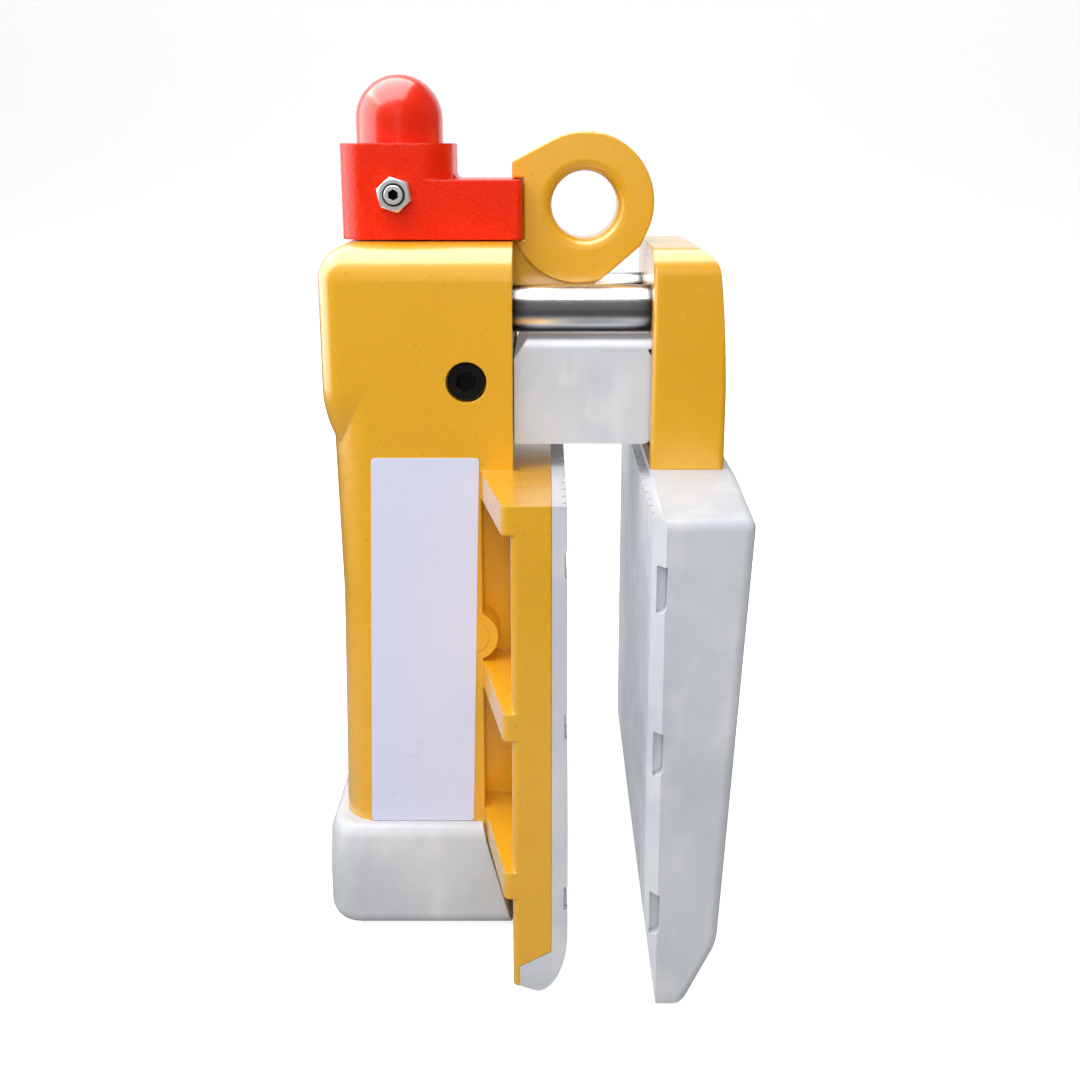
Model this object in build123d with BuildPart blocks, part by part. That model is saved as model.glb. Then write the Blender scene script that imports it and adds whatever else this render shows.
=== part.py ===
from build123d import *
from math import atan2, cos, degrees, hypot, radians, sin
import os

# Slab lifter, in millimetres.
# X runs from the body towards the moving jaw, Y across the jaws and Z up.
# The origin is under the middle of the lifter, on the surface that it stands on.

# Jaws and travel
FIXED_WIDTH = 196.0
MOVING_WIDTH = 208.0
LIFT_TRAVEL = 36.0
JAW_TRAVEL = 22.0
FIXED_GRIP_X = 17.9
MOVING_GRIP_X = 50.7

# Clearances
PRESS_GAP = 0.02
RUNNING_FIT = 0.05
SCREW_FIT = 0.05
SLOT_FIT = 0.1
FACE_GAP = 0.3
HEAD_ROOM = 0.6

# Main body outside: head, column, fixed jaw plate and its gusset webs
BODY_WIDTH = 89.0
HEAD_BACK = -85.5
HEAD_FRONT = -4.3
HEAD_TOP = 312.4
HEAD_CORNER = 8.5
HEAD_TOP_RADIUS = 15.0
STEP_HIGH = 252.0
STEP_LOW = 229.0
STEP_INSET = 5.5
STEP_SECTIONS = 3
STEP_BACK = -82.7
COLUMN_WAIST = 158.0
WAIST_BACK = -81.0
FOOT_BACK = -84.4
COLUMN_FRONT = -18.2
COLUMN_CORNER = 17.0
COLUMN_FOOT = 6.0
NECK_WIDTH = 60.0
PLATE_BACK = -4.2
PLATE_FACE = 11.9
PLATE_TOP = 217.0
PLATE_EDGE_RADIUS = 3.0
TIP_FACE_Z = 20.7
TIP_BACK_Z = 13.3
LIP_FACE = -1.7
LIP_FOOT = 4.0
WEB_TOPS = (PLATE_TOP, 129.7, 57.8)
WEB_THICK = 12.0
WEB_END_PROUD = 3.3
WEB_END_RADIUS = 3.0

# Main body inside
TOP_WALL = 8.0
BACK_WALL = 7.0
SIDE_WALL = 8.5
HEAD_WALL = 8.0
CAVITY_FLOOR = 84.0
CAVITY_CORNER = 16.0
NECK_HOLLOW_HALF = 22.0
NECK_HOLLOW_FRONT = -4.8
HOLLOW_CORNER = 8.0
CHEEK_ROOM_HALF = 13.2
CHEEK_ROOM_BACK = -71.3
CHEEK_ROOM_FLOOR = 232.0
TOP_SLOT_BACK = -42.5
TOP_SLOT_HALF = 8.5
TOP_SLOT_FLOOR = 296.0

# Guide rods and their bearings
ROD_RADIUS = 10.0
ROD_Y = 27.5
ROD_Z = 284.5
ROD_REAR = -34.8
ROD_FRONT = 76.7
ROD_ROOM = 0.7
BUSH_RADIUS = 12.0
BUSH_REAR = -27.8
BUSH_WALL = 3.0
PIN_CHAMFER = 0.8

# Link with its eye, the pins and the link guides
LINK_HALF = 8.0
LINK_BACK = -38.5
LINK_FRONT = -6.8
LINK_FOOT = 92.0
NECK_FOOT_X = 7.7
NECK_FOOT_Z = 273.4
EYE_X = 26.5
EYE_Z = 327.1
EYE_RADIUS = 29.9
EYE_RISE = 1.0
EYE_STRETCH_X = 2.4
EYE_STRETCH_Z = 5.1
EYE_HOLE = 14.4
EYE_HALF = 12.0
EYE_ROUND = 5.0
EYE_EDGE = 1.0
EYE_FLAT_TURN = 117.0
EYE_NECK_TURN = -49.0
NOTCH_X = 0.1
NOTCH_TOP = 338.3
NOTCH_FOOT = 312.4
CORNER_X = -4.9
CORNER_Z = 345.6
CORNER_ROUND = 2.5
TANG_BACK = -34.5
TANG_FRONT = 5.2
TANG_FOOT = 315.4
TANG_TOP = 335.5
TANG_SLOPE = 4.0
PIN_RADIUS = 6.0
CAM_X = -37.8
CAM_Z = 248.0
LOBE_RADIUS = 11.0
RING_GAP = 0.6
RING_THICK = 1.2
RING_GROOVE = 1.0
RING_PROUD = 2.0
PIN_END = 2.2
GUIDE_X = -22.6
GUIDE_Z = 141.4
GUIDE_BOSS = 11.3
REAR_GUIDE_LOW = 299.0
FRONT_GUIDE_HALF = 12.0
FRONT_GUIDE_OVERLAP = 3.0

# Slotted cheeks between the link and the rods
CHEEK_IN = 8.6
CHEEK_OUT = 12.6
CHEEK_RIM = 5.0
CHEEK_FRONT = -22.8
LUG_REAR = -48.8
LUG_OUT = 36.0
LUG_LOW = 275.0
LUG_HIGH = 294.0
LUG_HEAD_DEPTH = 8.0

# Slab bumper and the bracket inside it
BUMPER_BACK = -3.9
BUMPER_END = 54.7
BUMPER_LOW = 227.4
BUMPER_TOP = 272.2
BUMPER_HALF = 38.0
BUMPER_ROUND = 6.0
BUMPER_SLOPE_RUN = 5.5
BUMPER_SLOPE_RISE = 8.0
BUMPER_END_RADIUS = 4.0
TONGUE_END = 57.7
TONGUE_LOW = 268.4
TONGUE_NOTCH_IN = 2.0
TONGUE_NOTCH_DOWN = 3.8
CORE_HALF = 32.7
CORE_LOW = 242.0
CORE_HIGH = 262.0
CORE_END = 49.0
EAR_IN = 15.0
EAR_WALL = 3.0
EAR_REAR = -34.8
EAR_HIGH = 266.0
SIDE_SCREW_X = -23.8
SIDE_SCREW_Z = 255.4
SIDE_SCREW_SUNK = 1.0
SIDE_SCREW_DEPTH = 7.0

# Moving jaw: bridge, core and rubber
BRIDGE_BACK = 54.1
BRIDGE_FRONT = 85.6
BRIDGE_BULGE = 85.1
BRIDGE_BULGE_Z = 260.0
BRIDGE_TOP_FRONT = 80.5
BRIDGE_HALF = 45.0
BRIDGE_LOW = 217.7
BRIDGE_TOP = 310.8
BRIDGE_CORNER = 12.0
BRIDGE_SHOULDER = 11.0
BRIDGE_EDGE = 2.6
POCKET_FRONT = 80.7
POCKET_HALF = 39.5
POCKET_LOW = 225.5
POCKET_HIGH = 273.2
ROD_SCREW_SEAT = 79.7
ROD_SCREW_FACE = 83.4
JAW_CORE_HALF = 95.0
JAW_CORE_BACK = 57.2
JAW_CORE_FRONT = 82.5
JAW_CORE_TOP = 206.0
JAW_CORE_KNEE = (76.5, 42.0)
JAW_CORE_TOE = (67.0, 15.0)
JAW_CORE_HEEL = (59.0, 15.0)
JAW_CORE_LEAD_Z = 40.0
JAW_TOP = 213.0
JAW_OUTER_TOP = 91.0
JAW_OUTER_KNEE = (81.3, 27.5)
JAW_TOE_X = 68.2
JAW_HEEL_X = 55.8
JAW_LEAD_Z = 38.0
JAW_EDGE_CHAMFER = 5.0
SHOULDER_SETBACK = 4.0
SHOULDER_TAPER = 1.0
SHOULDER_HALF = 47.0
JAW_NOTCHES = (174.5, 104.5, 32.0)
JAW_NOTCH_HIGH = 19.5
JAW_NOTCH_DEEP = 4.6
GROOVE_PITCH = 10.4
GROOVE_WIDE = 4.4
GROOVE_DEEP = 1.8

# Fixed jaw rubber
PAD_LOW_X = 18.7
PAD_LOW_Z = 60.0
PAD_TOE_Z = 28.8
PAD_HEEL_X = 5.9
PAD_FOOT = 1.5
PAD_NOTCHES = (187.2, 118.4, 40.4)
PAD_NOTCH_HIGH = 11.0
PAD_NOTCH_DEEP = 2.8

# Foot boot
BOOT_BACK = -91.0
BOOT_FRONT_LOW = -8.0
BOOT_FRONT_TOP = -19.1
BOOT_HALF = 52.0
BOOT_TOP = 51.2
BOOT_RIM_Z = 49.2
BOOT_BACK_TOP = 58.5
BOOT_BACK_RUN = 12.0
BOOT_LEAN = 2.0
BOOT_HEEL_RADIUS = 11.0
BOOT_CORNER = 12.0

# Latch housing, dome and followers
LATCH_X = -53.8
HOUSING_LOW = 313.0
HOUSING_TOP = 352.8
HOUSING_BACK = -78.1
HOUSING_FRONT = -29.8
HOUSING_HALF = 24.0
HOUSING_CORNER = 13.0
HOUSING_BORE = 16.5
ARM_END = -0.4
ARM_TOP = 337.9
ARM_ROUND = 2.0
ARM_FILLET = 3.0
TANG_GAP = 0.2
HOUSING_SCREW_X = (-27.5, -11.8)
HOUSING_SCREW_Z = 325.5
HOUSING_SCREW_END = -18.0
HOUSING_SCREW_SUNK = 0.5
HOUSING_SCREW_DEPTH = 6.0
DOME_RADIUS = 18.7
DOME_WALL = 2.5
DOME_STRAIGHT = 10.1
DOME_LEDGE = 4.0
SPIGOT_RADIUS = 16.45
SPIGOT_WALL = 2.0
SPIGOT_DEPTH = 6.0
FOLLOWER_Z = 331.9
FOLLOWER_TIP = 10.0
FOLLOWER_TIP_RADIUS = 2.5
FOLLOWER_SHOULDER = 17.0
FOLLOWER_PROUD = 0.8
NUT_TURN = 12.0

# Latch post, barrel and retainer
SPIKE_RADIUS = 6.0
POST_RADIUS = 8.0
POST_FLANGE = 11.0
POST_TOP = 362.0
POST_THREAD_DEPTH = 16.0
RETAINER_RADIUS = 9.3
RETAINER_THICK = 2.0
RETAINER_SHANK = 14.0
BARREL_RADIUS = 13.5
BARREL_LOW = 315.7
BARREL_TOP = 361.7
LATCH_TURN = 60.0
BARREL_SLOT_HALF = 3.2
HOLD_HALF = 3.4
HOLD_EXTRA_TURN = 17.0

# Fasteners
M10_RADIUS = 5.0
M10_HEAD = 8.0
M10_SOCKET = 4.0
M8_RADIUS = 4.0
M8_HEAD = 6.5
M8_NUT_FLATS = 13.0
M8_NUT_HIGH = 6.5
M8_SOCKET = 2.0
M6_RADIUS = 3.0
M6_HEAD = 5.0
SIDE_SOCKET_DEPTH = 4.0
ROD_SOCKET_DEPTH = 3.0
FOLLOWER_SOCKET_DEPTH = 5.0
ROD_REAR_THREAD = 20.0
ROD_FRONT_THREAD = 24.0
THREAD_END_GAP = 4.0

# How far a cutting shape stands out past the face that it opens
PAST = 1.0

BODY_HALF = BODY_WIDTH / 2
FIXED_HALF = FIXED_WIDTH / 2
MOVING_HALF = MOVING_WIDTH / 2
SLOT_ANGLE = degrees(atan2(LIFT_TRAVEL, JAW_TRAVEL))
SLOT_RUN = hypot(LIFT_TRAVEL, JAW_TRAVEL)
SIDES = (-1, 1)

os.makedirs("parts", exist_ok=True)


def save(piece, name):
    """Label a finished piece and write it under the same name."""
    piece.part.label = name
    export_step(piece.part, f"parts/{name}.step")


def block(x0, x1, y0, y1, z0, z1, mode=Mode.ADD):
    """A box given by its limits, added to or cut from the open part."""
    with Locations(((x0 + x1) / 2, (y0 + y1) / 2, (z0 + z1) / 2)):
        Box(x1 - x0, y1 - y0, z1 - z0, mode=mode)


def rod_along_y(x, z, radius, y0, y1, mode=Mode.ADD):
    """A round bar or hole across the lifter."""
    with BuildSketch(Plane.XZ.offset(-y1)) as section:
        with Locations((x, z)):
            Circle(radius)
    extrude(section.sketch, amount=y1 - y0, mode=mode)


def rod_along_x(y, z, radius, x0, x1, mode=Mode.ADD):
    """A round bar or hole along the guide rods."""
    with BuildSketch(Plane.YZ.offset(x0)) as section:
        with Locations((y, z)):
            Circle(radius)
    extrude(section.sketch, amount=x1 - x0, mode=mode)


def span(side, inner, outer):
    """The lower and higher Y of a stretch on one side of the middle."""
    return sorted((side * inner, side * outer))


def plan(z, back, front, half, corner):
    """A plan section with its two back corners rounded."""
    with BuildSketch(Plane.XY.offset(z)) as section:
        with Locations(((back + front) / 2, 0)):
            Rectangle(front - back, 2 * half)
        fillet(section.vertices().group_by(Axis.X)[0], corner)
    return section.sketch


def upright_grooves(half, face_low, face_high, foot, top):
    """A row of upright grooves across a grip face, cut from the open part."""
    count = int(2 * half / GROOVE_PITCH)
    middle = ((face_low + face_high) / 2, 0, (foot + top) / 2)
    with Locations(middle):
        with GridLocations(0, GROOVE_PITCH, 1, count):
            Box(face_high - face_low, GROOVE_WIDE, top - foot, mode=Mode.SUBTRACT)


def side_outline(*points):
    """A closed straight-edged outline seen from the side, in X and Z."""
    with BuildSketch(Plane.XZ) as section:
        with BuildLine():
            Polyline(*points, close=True)
        make_face()
    return section.sketch


# Main body casting: head, waisted column and the plate of the fixed jaw
with BuildPart() as main_body:
    block(HEAD_BACK, HEAD_FRONT, -BODY_HALF, BODY_HALF, STEP_HIGH, HEAD_TOP)
    head_rim = main_body.faces().sort_by(Axis.Z)[-1].edges().sort_by(Axis.X)[:-1]
    fillet(head_rim, HEAD_TOP_RADIUS)
    head_corners = main_body.edges().filter_by(Axis.Z).sort_by(Axis.X)[:2]
    fillet(head_corners, HEAD_CORNER)
    # Underside of the head, curving in towards the column
    step_plans = []
    for section in range(STEP_SECTIONS + 1):
        share = section / STEP_SECTIONS
        inset = STEP_INSET * share**2
        step_z = STEP_HIGH - share * (STEP_HIGH - STEP_LOW)
        step_half = BODY_HALF - inset
        step_plans.append(plan(step_z, HEAD_BACK + inset, HEAD_FRONT, step_half, HEAD_CORNER - inset))
    loft(step_plans)
    column_foot = plan(COLUMN_FOOT, FOOT_BACK, COLUMN_FRONT, BODY_HALF, COLUMN_CORNER)
    column_waist = plan(COLUMN_WAIST, WAIST_BACK, COLUMN_FRONT, BODY_HALF, COLUMN_CORNER)
    column_top = plan(STEP_HIGH, STEP_BACK, COLUMN_FRONT, BODY_HALF, COLUMN_CORNER)
    loft([column_foot, column_waist])
    loft([column_waist, column_top])
    block(COLUMN_FRONT, HEAD_FRONT, -BODY_HALF, BODY_HALF, PLATE_TOP - PAST, STEP_HIGH)
    block(COLUMN_FRONT, PLATE_FACE, -NECK_WIDTH / 2, NECK_WIDTH / 2, TIP_FACE_Z, PLATE_TOP)
    block(COLUMN_FRONT, PLATE_BACK, -NECK_WIDTH / 2, NECK_WIDTH / 2, COLUMN_FOOT, STEP_LOW)
    plate_side = side_outline(
        (PLATE_BACK, PLATE_TOP),
        (PLATE_FACE, PLATE_TOP),
        (PLATE_FACE, TIP_FACE_Z),
        (LIP_FACE, TIP_BACK_Z),
        (LIP_FACE, LIP_FOOT),
        (PLATE_BACK, LIP_FOOT),
    )
    extrude(plate_side, amount=FIXED_HALF, both=True)
    plate_rims = main_body.edges().filter_by(Axis.Z)
    plate_rims = plate_rims.filter_by(lambda edge: abs(edge.center().Y) > FIXED_HALF - PAST)
    plate_rims = plate_rims.filter_by(lambda edge: edge.center().X < PLATE_BACK + PAST)
    fillet(plate_rims, PLATE_EDGE_RADIUS)
    # Gusset webs from the sides of the column to the edges of the plate
    web_end = PLATE_BACK - WEB_END_PROUD
    for web_top in WEB_TOPS:
        with BuildSketch(Plane.XY.offset(web_top - WEB_THICK)) as web:
            with BuildLine():
                Polyline(
                    (COLUMN_FRONT, -BODY_HALF),
                    (web_end, -FIXED_HALF),
                    (PLATE_FACE, -FIXED_HALF),
                    (PLATE_FACE, FIXED_HALF),
                    (web_end, FIXED_HALF),
                    (COLUMN_FRONT, BODY_HALF),
                    close=True,
                )
            make_face()
            fillet(web.vertices().group_by(Axis.X)[1], WEB_END_RADIUS)
        extrude(amount=WEB_THICK)
    rod_along_y(GUIDE_X, GUIDE_Z, GUIDE_BOSS, -BODY_HALF, BODY_HALF)

    # Hollows for the link, the cheeks, the ears of the bracket and the rods
    hollow_back = WAIST_BACK + BACK_WALL
    column_hollow = plan(CAVITY_FLOOR, hollow_back, GUIDE_X, BODY_HALF - SIDE_WALL, CAVITY_CORNER)
    extrude(column_hollow, amount=STEP_LOW - CAVITY_FLOOR, mode=Mode.SUBTRACT)
    block(
        GUIDE_X - PAST,
        NECK_HOLLOW_FRONT,
        -NECK_HOLLOW_HALF,
        NECK_HOLLOW_HALF,
        CAVITY_FLOOR,
        STEP_LOW,
        Mode.SUBTRACT,
    )
    rod_floor = ROD_Z - BUSH_RADIUS - BUSH_WALL
    ear_half = CORE_HALF + FACE_GAP
    ear_hollow = plan(STEP_LOW - PAST, hollow_back, HEAD_FRONT + PAST, ear_half, HOLLOW_CORNER)
    extrude(ear_hollow, amount=rod_floor - STEP_LOW + PAST, mode=Mode.SUBTRACT)
    rod_half = ROD_Y + ROD_RADIUS + ROD_ROOM
    rod_hollow = plan(rod_floor - PAST, HEAD_BACK + HEAD_WALL, BUSH_REAR, rod_half, HOLLOW_CORNER)
    extrude(rod_hollow, amount=HEAD_TOP - TOP_WALL - rod_floor + PAST, mode=Mode.SUBTRACT)
    block(
        CHEEK_ROOM_BACK,
        HEAD_FRONT + PAST,
        -CHEEK_ROOM_HALF,
        CHEEK_ROOM_HALF,
        CHEEK_ROOM_FLOOR,
        HEAD_TOP - TOP_WALL,
        Mode.SUBTRACT,
    )
    block(
        TOP_SLOT_BACK,
        HEAD_FRONT + PAST,
        -TOP_SLOT_HALF,
        TOP_SLOT_HALF,
        TOP_SLOT_FLOOR,
        HEAD_TOP + PAST,
        Mode.SUBTRACT,
    )
    for side in SIDES:
        rod_along_x(side * ROD_Y, ROD_Z, BUSH_RADIUS, BUSH_REAR - PAST, HEAD_FRONT + PAST, Mode.SUBTRACT)
        low, high = span(side, CORE_HALF, BODY_HALF + PAST)
        rod_along_y(SIDE_SCREW_X, SIDE_SCREW_Z, M10_RADIUS + SCREW_FIT, low, high, Mode.SUBTRACT)
        low, high = span(side, BODY_HALF - SIDE_SCREW_DEPTH, BODY_HALF + PAST)
        rod_along_y(SIDE_SCREW_X, SIDE_SCREW_Z, M10_HEAD + HEAD_ROOM, low, high, Mode.SUBTRACT)
    pin_reach = BODY_HALF + PAST
    rod_along_y(GUIDE_X, GUIDE_Z, PIN_RADIUS + PRESS_GAP, -pin_reach, pin_reach, Mode.SUBTRACT)
    with Locations((LATCH_X, 0, HEAD_TOP)):
        Hole(SPIKE_RADIUS + PRESS_GAP, depth=TOP_WALL + PAST)
save(main_body, "main_body")

# Rubber facing of the fixed jaw, wrapped under the tip of the plate
with BuildPart() as fixed_jaw_pad:
    toe_run = PAD_LOW_X - PAD_HEEL_X
    toe_rise = PAD_TOE_Z - PAD_FOOT
    with BuildSketch(Plane.XZ):
        with BuildLine():
            Polyline(
                (PLATE_FACE, TIP_FACE_Z),
                (PLATE_FACE, PLATE_TOP),
                (FIXED_GRIP_X, PLATE_TOP),
                (PAD_LOW_X, PAD_LOW_Z),
                (PAD_LOW_X, PAD_TOE_Z),
            )
            EllipticalCenterArc((PAD_HEEL_X, PAD_TOE_Z), toe_run, toe_rise, start_angle=270, arc_size=90)
            Polyline(
                (PAD_HEEL_X, PAD_FOOT),
                (LIP_FACE, LIP_FOOT),
                (LIP_FACE, TIP_BACK_Z),
                (PLATE_FACE, TIP_FACE_Z),
            )
        make_face()
    extrude(amount=FIXED_HALF, both=True)
    grip_end = PAD_LOW_X + PAST
    for notch_z in PAD_NOTCHES:
        notch_x = FIXED_GRIP_X - PAD_NOTCH_DEEP
        notch_top = notch_z + PAD_NOTCH_HIGH
        block(notch_x, grip_end, -FIXED_HALF, FIXED_HALF, notch_z, notch_top, Mode.SUBTRACT)
    upright_grooves(FIXED_HALF, FIXED_GRIP_X - GROOVE_DEEP, grip_end, PAD_TOE_Z, PLATE_TOP + PAST)
save(fixed_jaw_pad, "fixed_jaw_pad")

# Rubber boot round the foot of the column
with BuildPart() as foot_boot:
    with BuildSketch(Plane.XZ) as boot_side:
        with BuildLine():
            Polyline(
                (BOOT_BACK, 0),
                (BOOT_FRONT_LOW, 0),
                (BOOT_FRONT_TOP, BOOT_TOP),
                (WAIST_BACK + BOOT_BACK_RUN, BOOT_TOP),
                (WAIST_BACK, BOOT_BACK_TOP),
                (BOOT_BACK + BOOT_LEAN, BOOT_BACK_TOP),
                (BOOT_BACK, BOOT_TOP),
                close=True,
            )
        make_face()
        fillet(boot_side.vertices().sort_by_distance((BOOT_BACK, 0, 0))[0], BOOT_HEEL_RADIUS)
    extrude(amount=BOOT_HALF, both=True)
    boot_back_edges = foot_boot.edges().filter_by(Axis.Z).sort_by(Axis.X)[:2]
    fillet(boot_back_edges, BOOT_CORNER)
    # Bevelled rim along the two sides
    with BuildSketch(Plane.YZ.offset(BOOT_BACK - PAST)) as boot_front:
        with BuildLine():
            Polyline(
                (-BOOT_HALF, 0),
                (BOOT_HALF, 0),
                (BOOT_HALF, BOOT_RIM_Z),
                (BODY_HALF, BOOT_TOP),
                (BODY_HALF, BOOT_BACK_TOP),
                (-BODY_HALF, BOOT_BACK_TOP),
                (-BODY_HALF, BOOT_TOP),
                (-BOOT_HALF, BOOT_RIM_Z),
                close=True,
            )
        make_face()
    extrude(boot_front.sketch, amount=BOOT_FRONT_LOW - BOOT_BACK + 2 * PAST, mode=Mode.INTERSECT)
    add(main_body.part, mode=Mode.SUBTRACT)
save(foot_boot, "foot_boot")

# Bearings of the guide rods
with BuildPart() as rod_bushes:
    for side in SIDES:
        rod_along_x(side * ROD_Y, ROD_Z, BUSH_RADIUS - PRESS_GAP, BUSH_REAR, HEAD_FRONT)
    for side in SIDES:
        rod_along_x(side * ROD_Y, ROD_Z, ROD_RADIUS + RUNNING_FIT, BUSH_REAR, HEAD_FRONT, Mode.SUBTRACT)
save(rod_bushes, "rod_bushes")

# Steel bracket inside the bumper, with two ears that the side screws hold
with BuildPart() as bumper_core:
    block(HEAD_FRONT - FACE_GAP, CORE_END, -CORE_HALF, CORE_HALF, CORE_LOW, CORE_HIGH)
    for side in SIDES:
        low, high = span(side, EAR_IN, CORE_HALF)
        block(EAR_REAR, HEAD_FRONT - FACE_GAP, low, high, CORE_LOW, EAR_HIGH)
        low, high = span(side, EAR_IN + EAR_WALL, CORE_HALF)
        rod_along_y(SIDE_SCREW_X, SIDE_SCREW_Z, M10_RADIUS + SCREW_FIT, low, high, Mode.SUBTRACT)
save(bumper_core, "bumper_core")

# Rubber block over the throat
with BuildPart() as slab_bumper:
    bumper_side = side_outline(
        (BUMPER_BACK, BUMPER_LOW),
        (BUMPER_END, BUMPER_LOW),
        (BUMPER_END, TONGUE_LOW - TONGUE_NOTCH_DOWN),
        (BUMPER_END - TONGUE_NOTCH_IN, TONGUE_LOW),
        (TONGUE_END, TONGUE_LOW),
        (TONGUE_END, BUMPER_TOP),
        (BUMPER_BACK + BUMPER_SLOPE_RUN, BUMPER_TOP),
        (BUMPER_BACK, BUMPER_TOP - BUMPER_SLOPE_RISE),
    )
    extrude(bumper_side, amount=BUMPER_HALF, both=True)
    end_rims = slab_bumper.edges().filter_by(Axis.Y)
    end_rims = end_rims.filter_by(lambda edge: BUMPER_END - PAST < edge.center().X < BUMPER_END + PAST)
    fillet(end_rims, BUMPER_END_RADIUS)
    bumper_top_edges = slab_bumper.faces().sort_by(Axis.Z)[-1].edges().filter_by(Axis.X)
    fillet(bumper_top_edges, BUMPER_ROUND)
    block(BUMPER_BACK - PAST, CORE_END, -CORE_HALF, CORE_HALF, CORE_LOW, CORE_HIGH, Mode.SUBTRACT)
save(slab_bumper, "slab_bumper")

# Cap screws through the sides of the head into the ears
with BuildPart() as bumper_screws:
    side_seat = BODY_HALF - SIDE_SCREW_DEPTH
    side_face = BODY_HALF - SIDE_SCREW_SUNK
    for side in SIDES:
        low, high = span(side, side_seat, side_face)
        rod_along_y(SIDE_SCREW_X, SIDE_SCREW_Z, M10_HEAD, low, high)
        low, high = span(side, EAR_IN + EAR_WALL + THREAD_END_GAP / 2, side_seat)
        rod_along_y(SIDE_SCREW_X, SIDE_SCREW_Z, M10_RADIUS, low, high)
    for side in SIDES:
        with BuildSketch(Plane.XZ.offset(-side * side_face)) as socket:
            with Locations((SIDE_SCREW_X, SIDE_SCREW_Z)):
                RegularPolygon(M10_SOCKET, 6, major_radius=False)
        extrude(socket.sketch, amount=side * SIDE_SOCKET_DEPTH, mode=Mode.SUBTRACT)
save(bumper_screws, "bumper_screws")

# Bronze guides and the lower pin that keep the link upright
with BuildPart() as link_guide_rear:
    guide_half = TOP_SLOT_HALF - SLOT_FIT
    guide_top = HEAD_TOP - FACE_GAP
    block(TOP_SLOT_BACK, LINK_BACK - FACE_GAP, -guide_half, guide_half, REAR_GUIDE_LOW, guide_top)
save(link_guide_rear, "link_guide_rear")

with BuildPart() as link_guide_front:
    block(
        LINK_FRONT + FACE_GAP,
        HEAD_FRONT - FACE_GAP,
        -FRONT_GUIDE_HALF,
        FRONT_GUIDE_HALF,
        CORE_LOW - FRONT_GUIDE_OVERLAP,
        CORE_HIGH + FRONT_GUIDE_OVERLAP,
    )
save(link_guide_front, "link_guide_front")

with BuildPart() as lower_guide_pin:
    pin_half = BODY_HALF - FACE_GAP
    rod_along_y(GUIDE_X, GUIDE_Z, PIN_RADIUS, -pin_half, pin_half)
    chamfer(lower_guide_pin.edges().filter_by(GeomType.CIRCLE), PIN_CHAMFER)
save(lower_guide_pin, "lower_guide_pin")

# Lifting link: the thick eye, then the tang for the housing and the guided bar
with BuildPart() as lifting_link:
    ring_z = EYE_Z + EYE_RISE
    flat_turn = radians(EYE_FLAT_TURN)
    neck_turn = radians(EYE_NECK_TURN)
    neck_head = (EYE_X + EYE_RADIUS * cos(neck_turn), ring_z + EYE_RADIUS * sin(neck_turn))
    with BuildSketch(Plane.XZ) as eye:
        with Locations((EYE_X - EYE_STRETCH_X / 2, ring_z - EYE_STRETCH_Z / 2)):
            SlotCenterToCenter(
                hypot(EYE_STRETCH_X, EYE_STRETCH_Z),
                2 * EYE_RADIUS,
                rotation=degrees(atan2(EYE_STRETCH_Z, EYE_STRETCH_X)),
            )
        with BuildLine():
            Polyline(
                (EYE_X, EYE_Z),
                (EYE_X + EYE_RADIUS * cos(flat_turn), ring_z + EYE_RADIUS * sin(flat_turn)),
                (CORNER_X, CORNER_Z),
                (CORNER_X, NOTCH_TOP),
                close=True,
            )
        make_face()
        fillet(eye.vertices().sort_by_distance((CORNER_X, CORNER_Z, 0))[0], CORNER_ROUND)
        with Locations((NOTCH_X, NOTCH_TOP)):
            Rectangle(EYE_RADIUS, NOTCH_TOP - NOTCH_FOOT, align=(Align.MAX, Align.MAX), mode=Mode.SUBTRACT)
        # The straight run of the neck cuts the lower side of the ring
        with Locations(neck_head):
            Rectangle(
                EYE_RADIUS,
                2 * EYE_RADIUS,
                rotation=EYE_NECK_TURN,
                align=(Align.MIN, Align.CENTER),
                mode=Mode.SUBTRACT,
            )
        with Locations((EYE_X, EYE_Z)):
            Circle(EYE_HOLE, mode=Mode.SUBTRACT)
    extrude(amount=EYE_HALF, both=True)
    hole_rims = lifting_link.edges().filter_by(GeomType.CIRCLE)
    hole_rims = hole_rims.filter_by(lambda edge: abs(edge.radius - EYE_HOLE) < PAST)
    fillet(hole_rims, EYE_ROUND)
    ring_rims = [face.outer_wire().edges() for face in lifting_link.faces().filter_by(Axis.Y)]
    fillet(ring_rims[0] + ring_rims[1], EYE_EDGE)
    with BuildSketch(Plane.XZ):
        with BuildLine():
            Polyline(
                (LINK_BACK, LINK_FOOT),
                (LINK_FRONT, LINK_FOOT),
                (LINK_FRONT, NECK_FOOT_Z),
                (NECK_FOOT_X, NECK_FOOT_Z),
                neck_head,
                (TANG_FRONT, TANG_TOP),
                (TANG_BACK, TANG_TOP),
                (TANG_BACK, TANG_FOOT),
                (LINK_BACK, TANG_FOOT - TANG_SLOPE),
                close=True,
            )
        make_face()
        with Locations((EYE_X, EYE_Z)):
            Circle(EYE_HOLE + EYE_ROUND, mode=Mode.SUBTRACT)
        with Locations((CAM_X, CAM_Z)):
            Circle(LOBE_RADIUS)
            Circle(PIN_RADIUS + PRESS_GAP, mode=Mode.SUBTRACT)
        with Locations((GUIDE_X, GUIDE_Z - LIFT_TRAVEL / 2)):
            SlotCenterToCenter(LIFT_TRAVEL, 2 * (PIN_RADIUS + SLOT_FIT), rotation=90, mode=Mode.SUBTRACT)
    extrude(amount=LINK_HALF, both=True)
    for screw_x in HOUSING_SCREW_X:
        hole_reach = LINK_HALF + PAST
        rod_along_y(screw_x, HOUSING_SCREW_Z, M6_RADIUS + SCREW_FIT, -hole_reach, hole_reach, Mode.SUBTRACT)
save(lifting_link, "lifting_link")

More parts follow.
